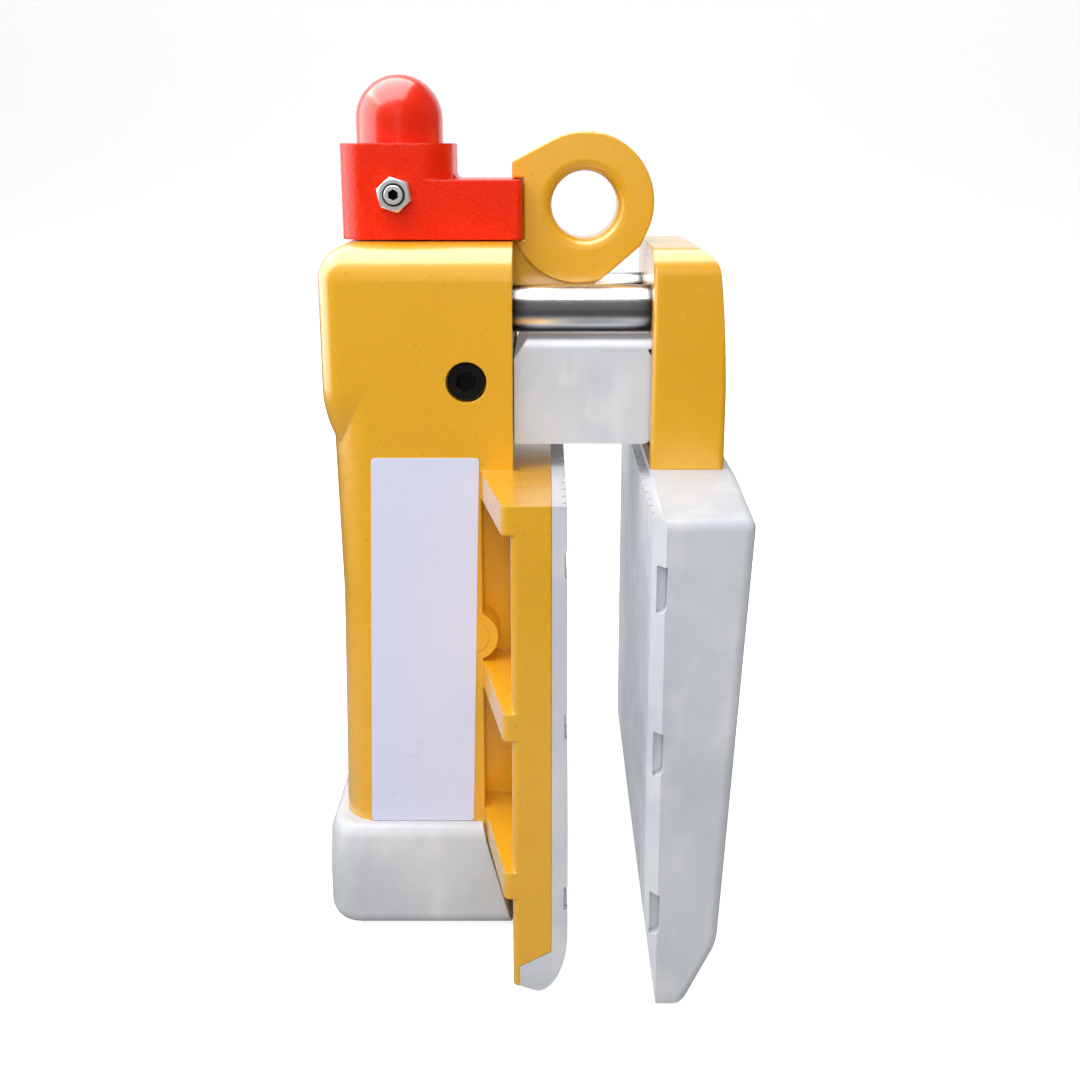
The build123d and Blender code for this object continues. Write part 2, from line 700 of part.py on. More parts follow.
# Cam pin through the link, grooved near its ends for two retaining rings
with BuildPart() as cam_pin:
    ring_in = CHEEK_OUT + RING_GAP
    ring_out = ring_in + RING_THICK
    rod_along_y(CAM_X, CAM_Z, PIN_RADIUS, -CHEEK_OUT - PIN_END, CHEEK_OUT + PIN_END)
    for side in SIDES:
        low, high = span(side, ring_in, ring_out)
        rod_along_y(CAM_X, CAM_Z, PIN_RADIUS + PAST, low, high, Mode.SUBTRACT)
        rod_along_y(CAM_X, CAM_Z, PIN_RADIUS - RING_GROOVE, low, high)
save(cam_pin, "cam_pin")

with BuildPart() as cam_pin_rings:
    for side in SIDES:
        low, high = span(side, ring_in, ring_out)
        rod_along_y(CAM_X, CAM_Z, PIN_RADIUS + RING_PROUD, low, high)
    rod_along_y(CAM_X, CAM_Z, PIN_RADIUS - RING_GROOVE + PRESS_GAP, -ring_out, ring_out, Mode.SUBTRACT)
save(cam_pin_rings, "cam_pin_rings")


def crosshead(side):
    """A slotted cheek with the lug that takes the rear end of one guide rod."""
    with BuildPart() as piece:
        slot_centre = (CAM_X + JAW_TRAVEL / 2, CAM_Z + LIFT_TRAVEL / 2)
        slot_width = 2 * (PIN_RADIUS + SLOT_FIT)
        with BuildSketch(Plane.XZ.offset(-side * CHEEK_IN)) as cheek:
            with Locations(slot_centre):
                SlotCenterToCenter(SLOT_RUN, slot_width + 2 * CHEEK_RIM, rotation=SLOT_ANGLE)
            with Locations(((LUG_REAR + CHEEK_FRONT) / 2, (LUG_LOW + LUG_HIGH) / 2)):
                Rectangle(CHEEK_FRONT - LUG_REAR, LUG_HIGH - LUG_LOW)
            with Locations(slot_centre):
                SlotCenterToCenter(SLOT_RUN, slot_width, rotation=SLOT_ANGLE, mode=Mode.SUBTRACT)
        extrude(cheek.sketch, amount=-side * (CHEEK_OUT - CHEEK_IN))
        low, high = span(side, CHEEK_OUT, LUG_OUT)
        block(LUG_REAR, ROD_REAR, low, high, LUG_LOW, LUG_HIGH)
        y = side * ROD_Y
        rod_along_x(y, ROD_Z, M8_RADIUS + SCREW_FIT, LUG_REAR - PAST, ROD_REAR + PAST, Mode.SUBTRACT)
        rod_along_x(y, ROD_Z, M8_HEAD + HEAD_ROOM, LUG_REAR - PAST, LUG_REAR + LUG_HEAD_DEPTH, Mode.SUBTRACT)
    return piece


def guide_rod(side):
    """A bright guide rod, drilled at both ends for its screws."""
    with BuildPart() as piece:
        y = side * ROD_Y
        rod_along_x(y, ROD_Z, ROD_RADIUS, ROD_REAR, ROD_FRONT)
        chamfer(piece.edges().filter_by(GeomType.CIRCLE), PIN_CHAMFER)
        rod_along_x(y, ROD_Z, M8_RADIUS + SCREW_FIT, ROD_REAR, ROD_REAR + ROD_REAR_THREAD, Mode.SUBTRACT)
        rod_along_x(y, ROD_Z, M10_RADIUS + SCREW_FIT, ROD_FRONT - ROD_FRONT_THREAD, ROD_FRONT, Mode.SUBTRACT)
    return piece


for side_name, side in (("near", -1), ("far", 1)):
    save(crosshead(side), f"crosshead_{side_name}")
    save(guide_rod(side), f"guide_rod_{side_name}")

with BuildPart() as crosshead_screws:
    lug_seat = LUG_REAR + LUG_HEAD_DEPTH
    for side in SIDES:
        y = side * ROD_Y
        rod_along_x(y, ROD_Z, M8_HEAD, LUG_REAR + HEAD_ROOM, lug_seat)
        rod_along_x(y, ROD_Z, M8_RADIUS, lug_seat, ROD_REAR + ROD_REAR_THREAD - THREAD_END_GAP)
save(crosshead_screws, "crosshead_screws")

# Hollow bridge of the moving jaw, which slides over the bumper
with BuildPart() as moving_jaw_bridge:
    with BuildSketch(Plane.XZ) as bridge_side:
        with BuildLine():
            ThreePointArc(
                (BRIDGE_FRONT, BRIDGE_LOW),
                (BRIDGE_BULGE, BRIDGE_BULGE_Z),
                (BRIDGE_TOP_FRONT, BRIDGE_TOP),
            )
            Polyline(
                (BRIDGE_TOP_FRONT, BRIDGE_TOP),
                (BRIDGE_BACK, BRIDGE_TOP),
                (BRIDGE_BACK, BRIDGE_LOW),
                (BRIDGE_FRONT, BRIDGE_LOW),
            )
        make_face()
        top_front = bridge_side.vertices().sort_by_distance((BRIDGE_TOP_FRONT, BRIDGE_TOP, 0))[0]
        fillet(top_front, BRIDGE_CORNER)
    extrude(amount=BRIDGE_HALF, both=True)
    # Rounded shoulders, seen along the rods, and rounded upright edges, seen from above
    with BuildSketch(Plane.YZ.offset(BRIDGE_BACK)) as bridge_arch:
        with Locations((0, (BRIDGE_LOW + BRIDGE_TOP) / 2)):
            Rectangle(2 * BRIDGE_HALF, BRIDGE_TOP - BRIDGE_LOW)
        fillet(bridge_arch.vertices().group_by(Axis.Y)[-1], BRIDGE_SHOULDER)
    extrude(bridge_arch.sketch, amount=BRIDGE_FRONT - BRIDGE_BACK + PAST, mode=Mode.INTERSECT)
    with BuildSketch(Plane.XY.offset(BRIDGE_LOW)) as bridge_plan:
        with Locations(((BRIDGE_BACK + BRIDGE_FRONT) / 2, 0)):
            Rectangle(BRIDGE_FRONT - BRIDGE_BACK, 2 * BRIDGE_HALF)
        fillet(bridge_plan.vertices(), BRIDGE_EDGE)
    extrude(bridge_plan.sketch, amount=BRIDGE_TOP - BRIDGE_LOW, mode=Mode.INTERSECT)
    block(
        BRIDGE_BACK - PAST,
        POCKET_FRONT,
        -POCKET_HALF,
        POCKET_HALF,
        POCKET_LOW,
        POCKET_HIGH,
        Mode.SUBTRACT,
    )
    for side in SIDES:
        y = side * ROD_Y
        front = BRIDGE_FRONT + PAST
        rod_along_x(y, ROD_Z, ROD_RADIUS + PRESS_GAP, BRIDGE_BACK - PAST, ROD_FRONT, Mode.SUBTRACT)
        rod_along_x(y, ROD_Z, M10_RADIUS + SCREW_FIT, ROD_FRONT - PAST, front, Mode.SUBTRACT)
        rod_along_x(y, ROD_Z, M10_HEAD + HEAD_ROOM, ROD_SCREW_SEAT, front, Mode.SUBTRACT)
save(moving_jaw_bridge, "moving_jaw_bridge")

# Core of the jaw, welded under the bridge
with BuildPart() as moving_jaw_core:
    for core_top, core_half in ((BRIDGE_LOW, BRIDGE_HALF - BRIDGE_EDGE), (JAW_CORE_TOP, JAW_CORE_HALF)):
        core_side = side_outline(
            (JAW_CORE_BACK, core_top),
            (JAW_CORE_FRONT, core_top),
            (JAW_CORE_FRONT, JAW_CORE_TOP - PAST),
            JAW_CORE_KNEE,
            JAW_CORE_TOE,
            JAW_CORE_HEEL,
            (JAW_CORE_BACK, JAW_CORE_LEAD_Z),
        )
        extrude(core_side, amount=core_half, both=True)
save(moving_jaw_core, "moving_jaw_core")

with BuildPart() as rod_screws:
    for side in SIDES:
        y = side * ROD_Y
        rod_along_x(y, ROD_Z, M10_HEAD, ROD_SCREW_SEAT, ROD_SCREW_FACE)
        screw_end = ROD_FRONT - ROD_FRONT_THREAD + THREAD_END_GAP
        rod_along_x(y, ROD_Z, M10_RADIUS, screw_end, ROD_SCREW_SEAT)
        with BuildSketch(Plane.YZ.offset(ROD_SCREW_FACE)) as socket:
            with Locations((y, ROD_Z)):
                RegularPolygon(M10_SOCKET, 6, major_radius=False)
        extrude(socket.sketch, amount=-ROD_SOCKET_DEPTH, mode=Mode.SUBTRACT)
save(rod_screws, "rod_screws")

# Rubber of the moving jaw, moulded round its core
with BuildPart() as moving_jaw_pad:
    jaw_side = side_outline(
        (MOVING_GRIP_X, JAW_TOP),
        (JAW_OUTER_TOP, JAW_TOP),
        JAW_OUTER_KNEE,
        (JAW_TOE_X, 0),
        (JAW_HEEL_X, 0),
        (MOVING_GRIP_X, JAW_LEAD_Z),
    )
    extrude(jaw_side, amount=MOVING_HALF, both=True)
    grip_rims = moving_jaw_pad.edges().filter_by(Axis.Z)
    grip_rims = grip_rims.filter_by(lambda edge: edge.center().X < MOVING_GRIP_X + PAST)
    chamfer(grip_rims, JAW_EDGE_CHAMFER)
    shoulder_x = MOVING_GRIP_X + SHOULDER_SETBACK
    with BuildSketch(Plane.XY.offset(JAW_TOP)) as shoulder_low:
        with Locations(((shoulder_x + JAW_OUTER_TOP) / 2, 0)):
            Rectangle(JAW_OUTER_TOP - shoulder_x, MOVING_WIDTH)
    with BuildSketch(Plane.XY.offset(BRIDGE_LOW)) as shoulder_high:
        with Locations(((shoulder_x + JAW_OUTER_TOP) / 2, 0)):
            Rectangle(JAW_OUTER_TOP - shoulder_x - SHOULDER_TAPER, 2 * SHOULDER_HALF)
    loft([shoulder_low.sketch, shoulder_high.sketch])
    # Level channels across the grip face, each with a slanted lower side
    for notch_z in JAW_NOTCHES:
        channel = side_outline(
            (MOVING_GRIP_X - PAST, notch_z - PAST),
            (MOVING_GRIP_X + JAW_NOTCH_DEEP, notch_z + JAW_NOTCH_DEEP),
            (MOVING_GRIP_X + JAW_NOTCH_DEEP, notch_z + JAW_NOTCH_HIGH),
            (MOVING_GRIP_X - PAST, notch_z + JAW_NOTCH_HIGH),
        )
        extrude(channel, amount=MOVING_HALF, both=True, mode=Mode.SUBTRACT)
    groove_face = MOVING_GRIP_X + GROOVE_DEEP
    upright_grooves(MOVING_HALF, MOVING_GRIP_X - PAST, groove_face, JAW_LEAD_Z, JAW_TOP + PAST)
    add(moving_jaw_core.part, mode=Mode.SUBTRACT)
save(moving_jaw_pad, "moving_jaw_pad")

# Red housing on the tang of the link: box with a bore, and an arm
with BuildPart() as latch_housing:
    with BuildSketch(Plane.XY.offset(HOUSING_LOW)):
        with Locations(((HOUSING_BACK + HOUSING_FRONT) / 2, 0)):
            RectangleRounded(HOUSING_FRONT - HOUSING_BACK, 2 * HOUSING_HALF, HOUSING_CORNER)
    extrude(amount=HOUSING_TOP - HOUSING_LOW)
    block(LATCH_X, ARM_END, -HOUSING_HALF, HOUSING_HALF, HOUSING_LOW, ARM_TOP)
    flat_half = HOUSING_HALF - HOUSING_CORNER
    arm_rims = latch_housing.faces().filter_by(Axis.X).sort_by(Axis.X)[-1].edges().filter_by(Axis.Z)
    fillet(arm_rims, ARM_ROUND)
    block(LATCH_X, HOUSING_FRONT + ARM_FILLET, -flat_half, flat_half, ARM_TOP, ARM_TOP + ARM_FILLET)
    fillet_x = HOUSING_FRONT + ARM_FILLET
    rod_along_y(fillet_x, ARM_TOP + ARM_FILLET, ARM_FILLET, -flat_half, flat_half, Mode.SUBTRACT)
    with Locations((LATCH_X, 0, HOUSING_TOP)):
        Hole(HOUSING_BORE)
    tang_half = LINK_HALF + TANG_GAP
    tang_back = TANG_BACK - FACE_GAP
    room_low = HOUSING_LOW - PAST
    block(tang_back, ARM_END + PAST, -tang_half, tang_half, room_low, TANG_TOP + TANG_GAP, Mode.SUBTRACT)
    link_back = LINK_BACK - FACE_GAP
    block(link_back, tang_back + PAST, -tang_half, tang_half, room_low, TANG_FOOT + FACE_GAP, Mode.SUBTRACT)
    side_reach = HOUSING_HALF + PAST
    rod_along_y(LATCH_X, FOLLOWER_Z, M8_RADIUS + SCREW_FIT, -side_reach, side_reach, Mode.SUBTRACT)
    for screw_x in HOUSING_SCREW_X:
        hole_end = HOUSING_SCREW_END - PAST
        rod_along_y(screw_x, HOUSING_SCREW_Z, M6_RADIUS + SCREW_FIT, hole_end, side_reach, Mode.SUBTRACT)
        screw_seat = HOUSING_HALF - HOUSING_SCREW_DEPTH
        rod_along_y(screw_x, HOUSING_SCREW_Z, M6_HEAD + HEAD_ROOM, screw_seat, side_reach, Mode.SUBTRACT)
save(latch_housing, "latch_housing")

with BuildPart() as housing_screws:
    screw_face = HOUSING_HALF - HOUSING_SCREW_SUNK
    for screw_x in HOUSING_SCREW_X:
        rod_along_y(screw_x, HOUSING_SCREW_Z, M6_HEAD, screw_seat, screw_face)
        rod_along_y(screw_x, HOUSING_SCREW_Z, M6_RADIUS, HOUSING_SCREW_END, screw_seat)
save(housing_screws, "housing_screws")

# Red dome: a hollow cap with a spigot in the bore of the housing
with BuildPart() as latch_cap:
    dome_z = HOUSING_TOP + DOME_STRAIGHT
    dome_in = DOME_RADIUS - DOME_WALL
    spigot_in = SPIGOT_RADIUS - SPIGOT_WALL
    spigot_low = HOUSING_TOP - SPIGOT_DEPTH
    with BuildSketch(Plane.XZ):
        with BuildLine():
            Line((LATCH_X, dome_z + dome_in), (LATCH_X, dome_z + DOME_RADIUS))
            CenterArc((LATCH_X, dome_z), DOME_RADIUS, 0, 90)
            CenterArc((LATCH_X, dome_z), dome_in, 0, 90)
            Polyline(
                (LATCH_X + DOME_RADIUS, dome_z),
                (LATCH_X + DOME_RADIUS, HOUSING_TOP),
                (LATCH_X + SPIGOT_RADIUS, HOUSING_TOP),
                (LATCH_X + SPIGOT_RADIUS, spigot_low),
                (LATCH_X + spigot_in, spigot_low),
                (LATCH_X + spigot_in, dome_z - DOME_LEDGE),
                (LATCH_X + dome_in, dome_z),
            )
        make_face()
    revolve(axis=Axis((LATCH_X, 0, 0), (0, 0, 1)))
save(latch_cap, "latch_cap")

# Set screws whose plain tips follow the barrel, and their locknuts
with BuildPart() as follower_screws:
    follower_end = HOUSING_HALF + M8_NUT_HIGH + FOLLOWER_PROUD
    for side in SIDES:
        low, high = span(side, FOLLOWER_TIP, FOLLOWER_SHOULDER)
        rod_along_y(LATCH_X, FOLLOWER_Z, FOLLOWER_TIP_RADIUS, low, high)
        low, high = span(side, FOLLOWER_SHOULDER, follower_end)
        rod_along_y(LATCH_X, FOLLOWER_Z, M8_RADIUS, low, high)
        with BuildSketch(Plane.XZ.offset(-side * follower_end)) as socket:
            with Locations((LATCH_X, FOLLOWER_Z)):
                RegularPolygon(M8_SOCKET, 6, major_radius=False)
        extrude(socket.sketch, amount=side * FOLLOWER_SOCKET_DEPTH, mode=Mode.SUBTRACT)
save(follower_screws, "follower_screws")

with BuildPart() as follower_locknuts:
    for side in SIDES:
        with BuildSketch(Plane.XZ.offset(-side * (HOUSING_HALF + M8_NUT_HIGH))) as nut:
            with Locations((LATCH_X, FOLLOWER_Z)):
                RegularPolygon(M8_NUT_FLATS / 2, 6, major_radius=False, rotation=NUT_TURN)
                Circle(M8_RADIUS + SCREW_FIT, mode=Mode.SUBTRACT)
        extrude(nut.sketch, amount=side * M8_NUT_HIGH)
save(follower_locknuts, "follower_locknuts")

# Post on the top of the head, its retainer and the slotted barrel that turns on it
with BuildPart() as latch_post:
    flange_top = BARREL_LOW - FACE_GAP
    post_side = side_outline(
        (LATCH_X, HEAD_TOP - TOP_WALL),
        (LATCH_X + SPIKE_RADIUS, HEAD_TOP - TOP_WALL),
        (LATCH_X + SPIKE_RADIUS, HEAD_TOP),
        (LATCH_X + POST_FLANGE, HEAD_TOP),
        (LATCH_X + POST_FLANGE, flange_top),
        (LATCH_X + POST_RADIUS, flange_top),
        (LATCH_X + POST_RADIUS, POST_TOP),
        (LATCH_X, POST_TOP),
    )
    revolve(post_side, axis=Axis((LATCH_X, 0, 0), (0, 0, 1)))
    with Locations((LATCH_X, 0, POST_TOP)):
        Hole(M6_RADIUS + SCREW_FIT, depth=POST_THREAD_DEPTH)
save(latch_post, "latch_post")

with BuildPart() as latch_retainer:
    with Locations((LATCH_X, 0, POST_TOP)):
        Cylinder(RETAINER_RADIUS, RETAINER_THICK, align=(Align.CENTER, Align.CENTER, Align.MIN))
        Cylinder(M6_RADIUS, RETAINER_SHANK, align=(Align.CENTER, Align.CENTER, Align.MAX))
save(latch_retainer, "latch_retainer")

with BuildPart() as latch_barrel:
    with BuildSketch(Plane.XY.offset(BARREL_LOW)):
        with Locations((LATCH_X, 0)):
            Circle(BARREL_RADIUS)
            Circle(POST_RADIUS + RUNNING_FIT, mode=Mode.SUBTRACT)
    extrude(amount=BARREL_TOP - BARREL_LOW)
    # Straight slots, open at the top, in which the followers rise when the latch is released
    slot_reach = BARREL_RADIUS + PAST
    block(
        LATCH_X - BARREL_SLOT_HALF,
        LATCH_X + BARREL_SLOT_HALF,
        -slot_reach,
        slot_reach,
        FOLLOWER_Z - HOLD_HALF,
        BARREL_TOP + PAST,
        Mode.SUBTRACT,
    )
    # Level branches in which the followers are held when the barrel has turned
    for start in (90, 270):
        outward = (cos(radians(start)), sin(radians(start)), 0)
        across = (sin(radians(start)), -cos(radians(start)), 0)
        with BuildSketch(Plane(origin=(LATCH_X, 0, 0), x_dir=outward, z_dir=across)) as hold:
            with Locations((POST_RADIUS, FOLLOWER_Z)):
                Rectangle(slot_reach - POST_RADIUS, 2 * HOLD_HALF, align=(Align.MIN, Align.CENTER))
        revolve(
            hold.sketch,
            axis=Axis((LATCH_X, 0, 0), (0, 0, 1)),
            revolution_arc=-(LATCH_TURN + HOLD_EXTRA_TURN),
            mode=Mode.SUBTRACT,
        )
save(latch_barrel, "latch_barrel")
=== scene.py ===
# %% [markdown]
# # A slab lifter, dressed for its portrait
# The lifter is a yellow casting with a fixed jaw, a moving jaw that slides on two bright rods,
# an eye to hang it by and a red latch housing on top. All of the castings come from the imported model
# and stay exactly as they are. This lesson gives each surface its finish, models the rubber parts
# and the fasteners anew, and sets up the camera and the light.

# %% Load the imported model
import math

import bpy
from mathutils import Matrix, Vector


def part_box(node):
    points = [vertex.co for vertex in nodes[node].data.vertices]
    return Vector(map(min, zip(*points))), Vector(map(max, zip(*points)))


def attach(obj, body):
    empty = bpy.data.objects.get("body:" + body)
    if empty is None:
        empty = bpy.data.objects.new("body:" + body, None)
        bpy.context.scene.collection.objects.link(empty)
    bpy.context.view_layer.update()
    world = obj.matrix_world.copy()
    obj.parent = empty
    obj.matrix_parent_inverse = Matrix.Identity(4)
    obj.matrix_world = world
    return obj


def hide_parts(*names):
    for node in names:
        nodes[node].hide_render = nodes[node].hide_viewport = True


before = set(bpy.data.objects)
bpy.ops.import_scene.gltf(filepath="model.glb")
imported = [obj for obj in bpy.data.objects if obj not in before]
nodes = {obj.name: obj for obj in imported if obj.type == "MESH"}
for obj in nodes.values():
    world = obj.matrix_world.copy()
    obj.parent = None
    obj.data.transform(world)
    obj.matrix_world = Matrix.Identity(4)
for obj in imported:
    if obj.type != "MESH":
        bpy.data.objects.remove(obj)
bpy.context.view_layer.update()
MM = 0.001

# %% [markdown]
# ## Camera
# The photograph was taken from a little above the eye, close enough that the lower end looks
# smaller. A lens can be described in pixels of the picture: its focal length, and the point of the
# picture that it looks straight at. Blender wants millimetres of sensor and a shift, so both are
# worked out here from the pixel values.

# %% Place the camera
PHOTO_SIDE = 1080
FOCAL_PIXELS = 1231
AXIS_PIXEL_X = 546
AXIS_PIXEL_Y = 457
SENSOR_WIDTH = 36.0
CAMERA_PLACE = Vector((9.7, -553.0, 350.0)) * MM
CAMERA_PITCH = 14.0

bpy.ops.object.select_all(action="DESELECT")
tilt = math.radians(90 - CAMERA_PITCH)
bpy.ops.object.camera_add(location=CAMERA_PLACE, rotation=(tilt, 0, 0))
camera = bpy.context.object
camera.name = "portrait_camera"
camera.data.sensor_width = SENSOR_WIDTH
camera.data.lens = SENSOR_WIDTH * FOCAL_PIXELS / PHOTO_SIDE
camera.data.shift_x = 0.5 - AXIS_PIXEL_X / PHOTO_SIDE
camera.data.shift_y = AXIS_PIXEL_Y / PHOTO_SIDE - 0.5
bpy.context.scene.camera = camera
print("lens", round(camera.data.lens, 2), "shift", round(camera.data.shift_y, 3))

# %% [markdown]
# ## Floor and light
# The photograph has a plain white ground. A wide floor that sweeps up behind the object gives the
# same look without a horizon line. A white floor would also light the object strongly from below and
# wash out its shiny paint, so to the object the floor is grey, and in mirrors it has a dark cloth
# round about.

# %% Sweep the floor up behind the lifter
FLOOR_SIDE = 6.0
FLOOR_DROP = 0.0005
BACK_RISE = 3.0
SWEEP_RADIUS = 0.9

bpy.ops.object.select_all(action="DESELECT")
bpy.ops.mesh.primitive_plane_add(size=FLOOR_SIDE, location=(0, 0, -FLOOR_DROP))
floor = bpy.context.object
floor.name = "studio_floor"
bpy.ops.object.transform_apply(location=True)
bpy.ops.object.mode_set(mode="EDIT")
bpy.ops.mesh.select_all(action="DESELECT")
bpy.ops.object.mode_set(mode="OBJECT")
for edge in floor.data.edges:
    ends = [floor.data.vertices[i].co.y for i in edge.vertices]
    edge.select = min(ends) > 0
bpy.ops.object.mode_set(mode="EDIT")
bpy.ops.mesh.select_mode(type="EDGE")
bpy.ops.mesh.extrude_region_move(TRANSFORM_OT_translate={"value": (0, 0, BACK_RISE)})
bpy.ops.object.mode_set(mode="OBJECT")
sweep = floor.modifiers.new("sweep", "BEVEL")
sweep.width = SWEEP_RADIUS
sweep.segments = 24
bpy.ops.object.modifier_apply(modifier=sweep.name)
bpy.ops.object.shade_smooth()
print("floor faces:", len(floor.data.polygons))

# %% Paint the floor and the backdrop


def studio_white(name):
    """White paper that glows a little, so that it stays white in the picture."""
    paper = bpy.data.materials.new(name)
    paper.use_nodes = True
    shader = paper.node_tree.nodes["Principled BSDF"]
    shader.inputs["Base Color"].default_value = (0.90, 0.90, 0.90, 1)
    shader.inputs["Roughness"].default_value = 0.9
    shader.inputs["Emission Color"].default_value = (1.0, 1.0, 1.0, 1)
    shader.inputs["Emission Strength"].default_value = 0.65
    return paper


def spread(tree, value, low, high, start=0.3, end=0.7):
    """Stretch part of a value, by default the middle of a noise, over a range of numbers."""
    node = tree.nodes.new("ShaderNodeMapRange")
    node.inputs["From Min"].default_value = start
    node.inputs["From Max"].default_value = end
    node.inputs["To Min"].default_value = low
    node.inputs["To Max"].default_value = high
    tree.links.new(value, node.inputs["Value"])
    return node.outputs["Result"]


CLOTH_START = 0.32
CLOTH_END = 0.50
floor_paper = studio_white("floor_paper")
floor_tree = floor_paper.node_tree
rays = floor_tree.nodes.new("ShaderNodeLightPath")
grey_bounce = floor_tree.nodes.new("ShaderNodeBsdfDiffuse")
grey_bounce.inputs["Color"].default_value = (0.32, 0.32, 0.32, 1)
dark_cloth = floor_tree.nodes.new("ShaderNodeBsdfDiffuse")
dark_cloth.inputs["Color"].default_value = (0.06, 0.06, 0.06, 1)
spot = floor_tree.nodes.new("ShaderNodeTexCoord")
reach = floor_tree.nodes.new("ShaderNodeVectorMath")
reach.operation = "LENGTH"
floor_tree.links.new(spot.outputs["Object"], reach.inputs[0])
cloth_share = floor_tree.nodes.new("ShaderNodeMath")
cloth_share.operation = "MULTIPLY"
far_out = spread(floor_tree, reach.outputs["Value"], 0.0, 1.0, CLOTH_START, CLOTH_END)
floor_tree.links.new(far_out, cloth_share.inputs[0])
floor_tree.links.new(rays.outputs["Is Glossy Ray"], cloth_share.inputs[1])
bounce = floor_tree.nodes.new("ShaderNodeMixShader")
floor_tree.links.new(cloth_share.outputs["Value"], bounce.inputs["Fac"])
floor_tree.links.new(grey_bounce.outputs["BSDF"], bounce.inputs[1])
floor_tree.links.new(dark_cloth.outputs["BSDF"], bounce.inputs[2])
seen = floor_tree.nodes.new("ShaderNodeMixShader")
floor_tree.links.new(rays.outputs["Is Camera Ray"], seen.inputs["Fac"])
floor_tree.links.new(bounce.outputs["Shader"], seen.inputs[1])
floor_tree.links.new(floor_tree.nodes["Principled BSDF"].outputs["BSDF"], seen.inputs[2])
floor_tree.links.new(seen.outputs["Shader"], floor_tree.nodes["Material Output"].inputs["Surface"])
floor.data.materials.append(floor_paper)
floor.data.materials.append(studio_white("backdrop_paper"))
for face in floor.data.polygons:
    face.material_index = int(face.center.z > 0)
print("floor and backdrop painted")

# %% [markdown]
# The light is soft. One panel overhead makes every top face brighter than the sides, a panel in front
# reaches into the pockets between the webs, and others light the left, the right and the back. None
# of them shows in mirrors. Two large white cards show in mirrors alone: they draw the pale bands on
# the dome, the rods and the rounded edges of the paint. A dim sky fills the rest, and to the camera
# itself the sky is white.

# %% Hang the light panels
LIGHT_AIM = Vector((0, 0, 0.19))
SKY_STRENGTH = 0.14
PANELS = (
    # name, place, width, height, watts, shows in mirrors alone
    ("overhead_panel", (-0.30, -0.32, 1.15), 1.0, 0.9, 11.0, False),
    ("front_panel", (0.03, -1.70, 0.72), 0.4, 0.9, 12.5, False),
    ("front_left_panel", (-0.65, -1.50, 0.80), 0.4, 0.9, 2.0, False),
    ("left_panel", (-1.05, -0.05, 0.65), 1.3, 1.1, 6.0, False),
    ("right_panel", (1.40, 0.35, 0.80), 0.9, 1.0, 6.0, False),
    ("back_panel", (-0.20, 1.80, 0.90), 1.0, 0.9, 9.0, False),
    ("overhead_card", (-0.30, 0.00, 1.20), 1.5, 1.3, 36.0, True),
    ("left_card", (-1.05, 0.05, 0.55), 1.4, 1.2, 20.0, True),
)


def hang_panel(name, place, width, height, watts, mirrors_alone=False):
    """A soft light panel that faces the lifter, or a card that only mirrors show."""
    bpy.ops.object.light_add(type="AREA", location=place)
    panel = bpy.context.object
    panel.name = name
    panel.data.shape = "RECTANGLE"
    panel.data.size = width
    panel.data.size_y = height
    panel.data.energy = watts
    panel.visible_glossy = mirrors_alone
    panel.visible_diffuse = not mirrors_alone
    panel.rotation_euler = (LIGHT_AIM - Vector(place)).to_track_quat("-Z", "Y").to_euler()
    return panel


for panel_values in PANELS:
    hang_panel(*panel_values)

sky = bpy.data.worlds.new("studio_sky")
sky.use_nodes = True
sky_tree = sky.node_tree
dim_sky = sky_tree.nodes["Background"]
dim_sky.inputs["Color"].default_value = (1.0, 1.0, 1.0, 1)
dim_sky.inputs["Strength"].default_value = SKY_STRENGTH
white_sky = sky_tree.nodes.new("ShaderNodeBackground")
white_sky.inputs["Color"].default_value = (1.0, 1.0, 1.0, 1)
sky_rays = sky_tree.nodes.new("ShaderNodeLightPath")
seen_sky = sky_tree.nodes.new("ShaderNodeMixShader")
sky_tree.links.new(sky_rays.outputs["Is Camera Ray"], seen_sky.inputs["Fac"])
sky_tree.links.new(dim_sky.outputs["Background"], seen_sky.inputs[1])
sky_tree.links.new(white_sky.outputs["Background"], seen_sky.inputs[2])
sky_tree.links.new(seen_sky.outputs["Shader"], sky_tree.nodes["World Output"].inputs["Surface"])
bpy.context.scene.world = sky
bpy.context.scene.view_settings.view_transform = "Standard"
print("panels:", len(PANELS))

# %% [markdown]
# ## Finishes
# Every finish is a small node tree on one Principled shader. The patterns read Object coordinates,
# which are metres on every piece here, so one noise scale has the same size everywhere. One helper
# makes the noise, others turn it into colours or bumps, and each finish then needs only a few lines.

# %% Helpers for finishes


def new_finish(name):
    """A material with an empty Principled shader, ready for its nodes."""
    finish = bpy.data.materials.new(name)
    finish.use_nodes = True
    return finish, finish.node_tree, finish.node_tree.nodes["Principled BSDF"]


def grain(tree, scale, detail=4.0, roughness=0.55, stretch=(1, 1, 1)):
    """Noise on Object coordinates. Scale counts the blotches in a metre."""
    place = tree.nodes.new("ShaderNodeTexCoord")
    turn = tree.nodes.new("ShaderNodeMapping")
    turn.inputs["Scale"].default_value = stretch
    noise = tree.nodes.new("ShaderNodeTexNoise")
    noise.inputs["Scale"].default_value = scale
    noise.inputs["Detail"].default_value = detail
    noise.inputs["Roughness"].default_value = roughness
    tree.links.new(place.outputs["Object"], turn.inputs["Vector"])
    tree.links.new(turn.outputs["Vector"], noise.inputs["Vector"])
    return noise.outputs["Fac"]


